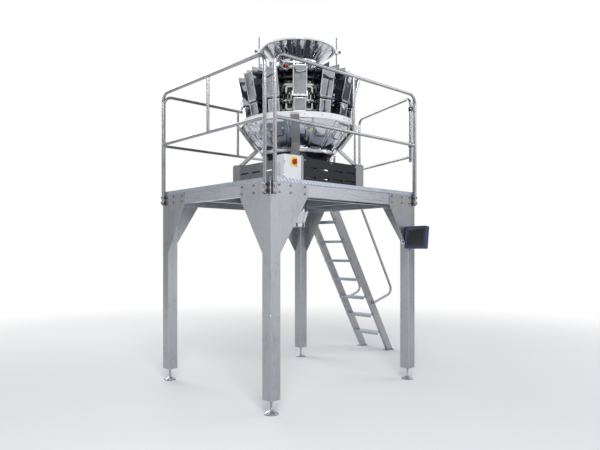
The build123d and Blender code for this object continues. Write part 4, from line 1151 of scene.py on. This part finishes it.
for kind, hopper in hopper_kinds.items():
    width, foot_r, foot_z = hopper["width"], hopper["foot_r"], hopper["foot_z"]
    (mouth_in, mouth_out), mouth_z = hopper["mouth_r"], hopper["mouth_z"]
    slope = math.hypot(mouth_out - foot_r, mouth_z - foot_z)
    lean = math.atan2(mouth_out - foot_r, mouth_z - foot_z)
    front_frames = around(head_angles, (foot_r + mouth_out) / 2, (foot_z + mouth_z) / 2, lean)
    front_outline = box_outline(width - flange_width, slope - flange_width, 0.006)
    flange = hoop(box_outline(flange_width, 0.005, 0.0015), front_outline, 0.001)
    make_piece(f"{kind}_hopper_flanges", flange, front_frames, rim_steel)
    face = bulged_face(width - 2 * flange_width, slope - 2 * flange_width, 0.003)
    make_piece(f"{kind}_hopper_faces", face, front_frames, mirror_steel)
    rolled = hoop(round_outline(0.0032, 8), box_outline(width, mouth_out - mouth_in, 0.010), 0)
    mouth_frames = around(head_angles, (mouth_in + mouth_out) / 2, mouth_z, -math.pi / 2)
    make_piece(f"{kind}_hopper_rims", rolled, mouth_frames, rim_steel, crisp=80)

# %% [markdown]
# ## The gaps between heads
# Between two hoppers the machine shows its works: a dark cover, white brackets with a hole,
# opening levers with two rollers each, and bright screws. They sit on the front corners of the
# drive units, clear of the gates below, and give the ring its busy black and white rhythm.

# %% Gap covers, brackets, levers and rollers
def at_levels(angles, radius, levels):
    """Frames at some bearings, once for each height."""
    return np.concatenate([around(angles, radius, level) for level in levels])


drive_low, drive_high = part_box("drive_units")
cover_r = 0.418
cover_height = drive_high.z - drive_low.z - 0.03
cover_frames = around(gap_angles, cover_r, (drive_high.z + drive_low.z) / 2)
gap_cover = stacked(box_outline(0.082, cover_height, 0.008), [(0, 0), (0, 0.010), (0.003, 0.014)])
make_piece("gap_covers", gap_cover, cover_frames, dark_paint)

bracket_r = 0.4425
bracket_levels = np.array([3.175, 3.005])
bracket = hoop(box_outline(0.020, 0.016, 0.004), box_outline(0.078, 0.074, 0.022, 5), 0.008)
bracket_frames = at_levels(gap_angles, bracket_r, bracket_levels)
make_piece("gap_brackets", bracket, bracket_frames, pale_plastic, crisp=50)
bracket_arm = stacked(box_outline(0.118, 0.020, 0.006), [(0, -0.001), (0, 0.009), (0.002, 0.012)])
arm_frames = at_levels(gap_angles, bracket_r, bracket_levels + 0.060)
make_piece("bracket_arms", bracket_arm, arm_frames, pale_plastic)

lever_angles = [head_angles + side * half_step * 0.82 for side in (-1, 1)]
lever_r = bracket_r + 0.014
lever = stacked(box_outline(0.020, 0.110, 0.009), [(0, 0), (0, 0.008), (0.002, 0.010)])
lever_frames = np.concatenate([around(angles, lever_r, 3.090) for angles in lever_angles])
make_piece("opening_levers", lever, lever_frames, rim_steel)
roller = joined(
    bar(round_outline(0.014, 24), 0.006, 0.020, 0.002),
    stacked(round_outline(0.006, 12), [(0, 0.018), (0, 0.022), (0.001, 0.023)]),
)
roller_frames = np.concatenate([at_levels(angles, lever_r, (3.040, 3.140)) for angles in lever_angles])
make_piece("lever_rollers", roller, roller_frames, black_plastic)

gap_screw_r, gap_screw_turn = 0.432, 0.055
gap_screw_levels = (2.945, 3.095, 3.265)
gap_screw_frames = np.concatenate([
    at_levels(gap_angles + turn, gap_screw_r, gap_screw_levels) for turn in (-gap_screw_turn, gap_screw_turn)
])
make_piece("gap_screws", dome_screw(0.007, 0.005), gap_screw_frames, bolt_steel)

# %% [markdown]
# ## Troughs, knobs and cone
# Each trough has a rolled lip along both sides, and a red knob beside it holds it to its shaker.
# The knob's outline is a circle with a cosine on its radius, stacked up with rounded insets. The
# cone in the middle has pressed ribs that spread the product.

# %% Trough lips, knobs and cone ribs
pan_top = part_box("feeder_pans")[1].z
pan_inner, pan_outer = (0.225, 0.044), (0.600, 0.062)
pan_run, pan_flare = pan_outer[0] - pan_inner[0], pan_outer[1] - pan_inner[1]
pan_lean = math.atan2(pan_flare, pan_run)
lip = bar(round_outline(0.0032, 8), 0, math.hypot(pan_run, pan_flare), 0.001)
out, across = bearings(head_angles)
lip_frames = []
for side in (-across, across):
    starts = np.array([axis_x, axis_y, pan_top]) + out * pan_inner[0] + side * pan_inner[1]
    lip_frames.append(places(starts, up, out * math.cos(pan_lean) + side * math.sin(pan_lean)))
make_piece("pan_lips", lip, np.concatenate(lip_frames), rim_steel, crisp=80)

knob_at, knob_level = 0.450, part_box("clamp_knobs")[1].z - 0.014
knob_side = pan_inner[1] + (knob_at - pan_inner[0]) * math.tan(pan_lean)
knob = stacked(
    lobed_outline(0.019, 0.14, 6, 36),
    [(0.010, 0), (0.010, 0.007), (0.002, 0.009), (0, 0.012), (0, 0.023), (0.002, 0.0275), (0.008, 0.030)],
)
knob_starts = np.array([axis_x, axis_y, knob_level]) + out * knob_at + across * knob_side
knob_frames = places(knob_starts, up, across * math.cos(pan_lean) - out * math.sin(pan_lean))
knobs = make_piece("pan_knobs", knob, knob_frames, red_plastic, crisp=50)
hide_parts("clamp_knobs")

cone_low, cone_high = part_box("dispersion_cone")
cone_r = (cone_high.x - cone_low.x) / 2
cone_rise = 0.125
rib_middle = 0.145
rib = stacked(box_outline(0.008, 0.180, 0.0035), [(0, -0.001), (0, 0.002), (0.0015, 0.0035)])
rib_level = cone_high.z - cone_rise * rib_middle / cone_r
rib_frames = around(gap_angles, rib_middle, rib_level, math.atan2(cone_rise, cone_r) - math.pi / 2)
make_piece("cone_ribs", rib, rib_frames, rim_steel)

# %% Screws of the housing's top plate
top_screw_r = 0.455
top_screw_frames = around(gap_angles, top_screw_r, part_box("feeder_drives")[0].z, -math.pi / 2)
make_piece("top_plate_screws", dome_screw(0.006, 0.004), top_screw_frames, bolt_steel)

# %% [markdown]
# ## Infeed funnel and its rods
# The funnel hangs in a white carrier between two threaded rods. Nuts above and below each boss set
# its height, and a black star knob locks it. The thread uses the same formula as the feet.

# %% Funnel bead, threaded rods and knobs
funnel_rim_r, rod_at = 0.4165, 0.442
carrier_low, carrier_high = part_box("funnel_carrier")
rod_low, rod_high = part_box("infeed_rods")
funnel_bead = round_bead(funnel_rim_r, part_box("infeed_funnel")[1].z - 0.001, 0.0032, 96)
make_piece("funnel_bead", funnel_bead, weigher_frame, rim_steel, crisp=80)

rod_angles = gap_angles[3] + np.array([0.0, math.pi])
nut_levels = (carrier_low.z - 0.0085, carrier_high.z + 0.0005)
rod_shape = joined(
    threaded(0.008, 0.004, rod_low.z, rod_high.z - 0.0005, 4, 14),
    stacked(round_outline(0.018), [(0, rod_low.z), (0, rod_low.z + 0.007), (0.001, rod_low.z + 0.008)]),
    *[bar(hex_outline(0.024), z, z + 0.008, 0.001) for z in nut_levels],
)
rod_frames = around(rod_angles, rod_at, 0.0, -math.pi / 2)
threaded_rods = make_piece("threaded_rods", rod_shape, rod_frames, bolt_steel)
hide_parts("infeed_rods")
star_knob = joined(
    stacked(round_outline(0.006, 12), [(0, 0), (0, 0.012)]),
    stacked(
        lobed_outline(0.018, 0.22, 5, 40),
        [(0.003, 0.010), (0, 0.013), (0, 0.022), (0.003, 0.026), (0.008, 0.027)],
    ),
)
star_frames = around(rod_angles, rod_at + 0.021, (carrier_low.z + carrier_high.z) / 2)
make_piece("carrier_knobs", star_knob, star_frames, black_plastic, crisp=50)

# %% [markdown]
# ## Control cabinet
# The cabinet is lacquered sheet with a door on each face that shows, a sunk pull handle, two
# hinges at the corner and a red and yellow isolator. The handle's rim is a bead carried round a
# long rounded outline. The isolator's knob has a fluted skirt and a grip bar, and the CAD's yellow
# plate gets a wider yellow surround behind it. The knob turns, so it rides on its own body.

# %% Cabinet doors, handle and hinges
leftward, frontward = np.array([-1.0, 0.0, 0.0]), np.array([0.0, -1.0, 0.0])
cabinet_size = np.array(cabinet_high) - np.array(cabinet_low)
cabinet_middle = (np.array(cabinet_low) + np.array(cabinet_high)) / 2


def door(width, height):
    """A thin plate with round corners and a broken edge, 8 mm short of the cabinet's edges."""
    outline = box_outline(width - 0.016, height - 0.016, 0.008)
    return stacked(outline, [(0, -0.001), (0, 0.0006), (0.0008, 0.0014)])


front_face = facing((cabinet_middle[0], cabinet_low.y, cabinet_middle[2]), frontward)
left_face = facing((cabinet_low.x, cabinet_middle[1], cabinet_middle[2]), leftward)
doors = joined(
    scattered(door(cabinet_size[0], cabinet_size[2]), front_face),
    scattered(door(cabinet_size[1], cabinet_size[2]), left_face),
)
make_piece("cabinet_doors", doors, None, white_paint)
pull_rim = hoop(round_outline(0.0028, 8), box_outline(0.026, 0.120, 0.013, 8), 0.0015)
pull_well = stacked(box_outline(0.024, 0.118, 0.012, 8), [(0, 0.0), (0, 0.0018)])
make_piece("cabinet_pull_rim", pull_rim, left_face, strut_steel, crisp=80)
make_piece("cabinet_pull_well", pull_well, left_face, white_paint)
hinge_pin = bar(round_outline(0.0055, 16), 0, 0.044, 0.001)
hinge_spots = [(cabinet_low.x - 0.002, cabinet_low.y - 0.002, cabinet_low.z + z) for z in (0.045, 0.190)]
make_piece("cabinet_hinges", hinge_pin, upright(hinge_spots), bolt_steel, crisp=60)

# %% Isolator
knob_x, knob_y, knob_z = joint_places["isolator_turn"]
knob_base = knob_y - 0.004
surround = stacked(box_outline(0.086, 0.092, 0.008), [(0, -0.0005), (0, 0.0020), (0.0008, 0.0028)])
surround_frame = facing((knob_x, cabinet_low.y, knob_z), frontward)
make_piece("isolator_surround", surround, surround_frame, yellow_plastic)
isolator = joined(
    stacked(
        lobed_outline(0.028, 0.07, 16, 96),
        [(0.001, 0), (0, 0.001), (0, 0.012), (0.003, 0.017), (0.011, 0.020), (0.018, 0.021)],
    ),
    stacked(box_outline(0.015, 0.052, 0.007), [(0, 0.015), (0, 0.034), (0.003, 0.038)]),
)
isolator_frame = facing((knob_x, knob_base, knob_z), frontward)
handle_piece = make_piece(
    "isolator_handle", isolator, isolator_frame, red_plastic, "isolator_knob"
)
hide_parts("isolator_knob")

# %% [markdown]
# ## Operator panel and push buttons
# The panel is a dark blue moulded case with a raised bezel round a dark glass screen, and cooling
# ribs on its back. It turns on its pin, so its pieces ride on its own body, while the four screws
# of its bracket stay on the platform. The small box on the post has a red mushroom button above a
# flat green one, both with steel collars.

# %% Panel bezel, screen, ribs and bracket screws
panel_tilt = math.radians(7)
pin_x, pin_y = joint_places["hmi_swivel"][:2]
panel_out = np.array([-math.cos(panel_tilt), 0.0, math.sin(panel_tilt)])
pin_gap, half_depth, half_height = 0.040, 0.025, 0.125
pin_to_middle = pin_gap + half_depth + math.sin(panel_tilt) * half_height
panel_level = 1.610
panel_middle = np.array([pin_x - pin_to_middle, pin_y, panel_level])
panel_frame = places(panel_middle, frontward, panel_out)
bezel = hoop(box_outline(0.030, 0.007, 0.003), box_outline(0.243, 0.218, 0.014, 5), 0.0262)
make_piece("hmi_bezel", bezel, panel_frame, navy_plastic, "hmi_panel")
screen = stacked(box_outline(0.216, 0.190, 0.004), [(0, 0.0240), (0, 0.0256), (0.001, 0.0262)])
make_piece("hmi_screen", screen, panel_frame, screen_glass, "hmi_panel")
vent = stacked(box_outline(0.200, 0.006, 0.003), [(0, -0.001), (0, 0.003), (0.002, 0.004)])
vent_steps = np.outer(np.linspace(0.035, 0.095, 6), np.cross(panel_out, frontward))
vent_frames = places(panel_middle - panel_out * half_depth + vent_steps, -frontward, -panel_out)
make_piece("hmi_vents", vent, vent_frames, navy_plastic, "hmi_panel")

bracket_low, bracket_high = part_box("hmi_bracket")
bracket_middle = bracket_high.x - 0.040
bracket_spots = [
    (bracket_middle + side, front_y - 0.008, level)
    for side in (-0.028, 0.028)
    for level in (bracket_low.z + 0.012, bracket_high.z - 0.014)
]
bracket_frames = facing(bracket_spots, frontward)
make_piece("bracket_screws", dome_screw(0.0075, 0.005), bracket_frames, bolt_steel)
print("bracket screws at", np.round(bracket_spots, 3).tolist())

# %% Push buttons
box_low, box_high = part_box("button_box")
button_y = (box_low.y + box_high.y) / 2
button_middle = (box_low.z + box_high.z) / 2
flat_cap = stacked(round_outline(0.0100, 24), [(0, 0.002), (0, 0.007), (0.0015, 0.0092), (0.005, 0.0102)])
mushroom = stacked(
    round_outline(0.0155, 32),
    [(0.006, 0.002), (0.006, 0.007), (0.001, 0.0085), (0, 0.0105), (0.001, 0.0135), (0.006, 0.0160)],
)
buttons = {
    "red": (button_middle + 0.019, mushroom, red_plastic),
    "green": (button_middle - 0.021, flat_cap, green_plastic),
}
for colour, (level, cap, material) in buttons.items():
    button_frame = facing((box_low.x, button_y, level), leftward)
    make_piece(f"{colour}_button", cap, button_frame, material)
lid = stacked(box_outline(0.056, 0.086, 0.005), [(0, -0.0005), (0, 0.0004), (0.0006, 0.0010)])
lid_frame = facing((box_low.x, button_y, button_middle), leftward)
make_piece("button_box_lid", lid, lid_frame, white_paint)
lid_screws = [
    (box_low.x - 0.0008, button_y + dy, button_middle + dz)
    for dy in (-0.022, 0.022)
    for dz in (-0.036, 0.036)
]
lid_screw_frames = places(lid_screws, up, leftward)
make_piece("lid_screws", dome_screw(0.003, 0.0015), lid_screw_frames, bolt_steel)
collar = stacked(round_outline(0.0125, 24), [(0, 0), (0, 0.002), (0.0015, 0.004)])
collar_spots = [(box_low.x, button_y, level) for level, cap, material in buttons.values()]
make_piece("button_collars", collar, facing(collar_spots, leftward), bolt_steel)

# %% [markdown]
# ## Spout
# Under the deck the spout's straight outlet has a rolled bead near each end, and its flange on
# the deck is held by eight screws. Both come from the same turned bead and domed screw as before.

# %% Spout beads and flange screws
spout_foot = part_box("discharge_spout")[0].z
outlet_r = 0.078
spout_beads = joined(*[round_bead(outlet_r, spout_foot + rise, 0.003, 48) for rise in (0.004, 0.048)])
make_piece("spout_beads", spout_beads, weigher_frame, rim_steel, crisp=80)
flange_screw_r = 0.150
flange_angles = (np.arange(8) + 0.5) * math.pi / 4
flange_frames = around(flange_angles, flange_screw_r, deck_top + 0.006, -math.pi / 2)
make_piece("flange_screws", plate_screw, flange_frames, bolt_steel)
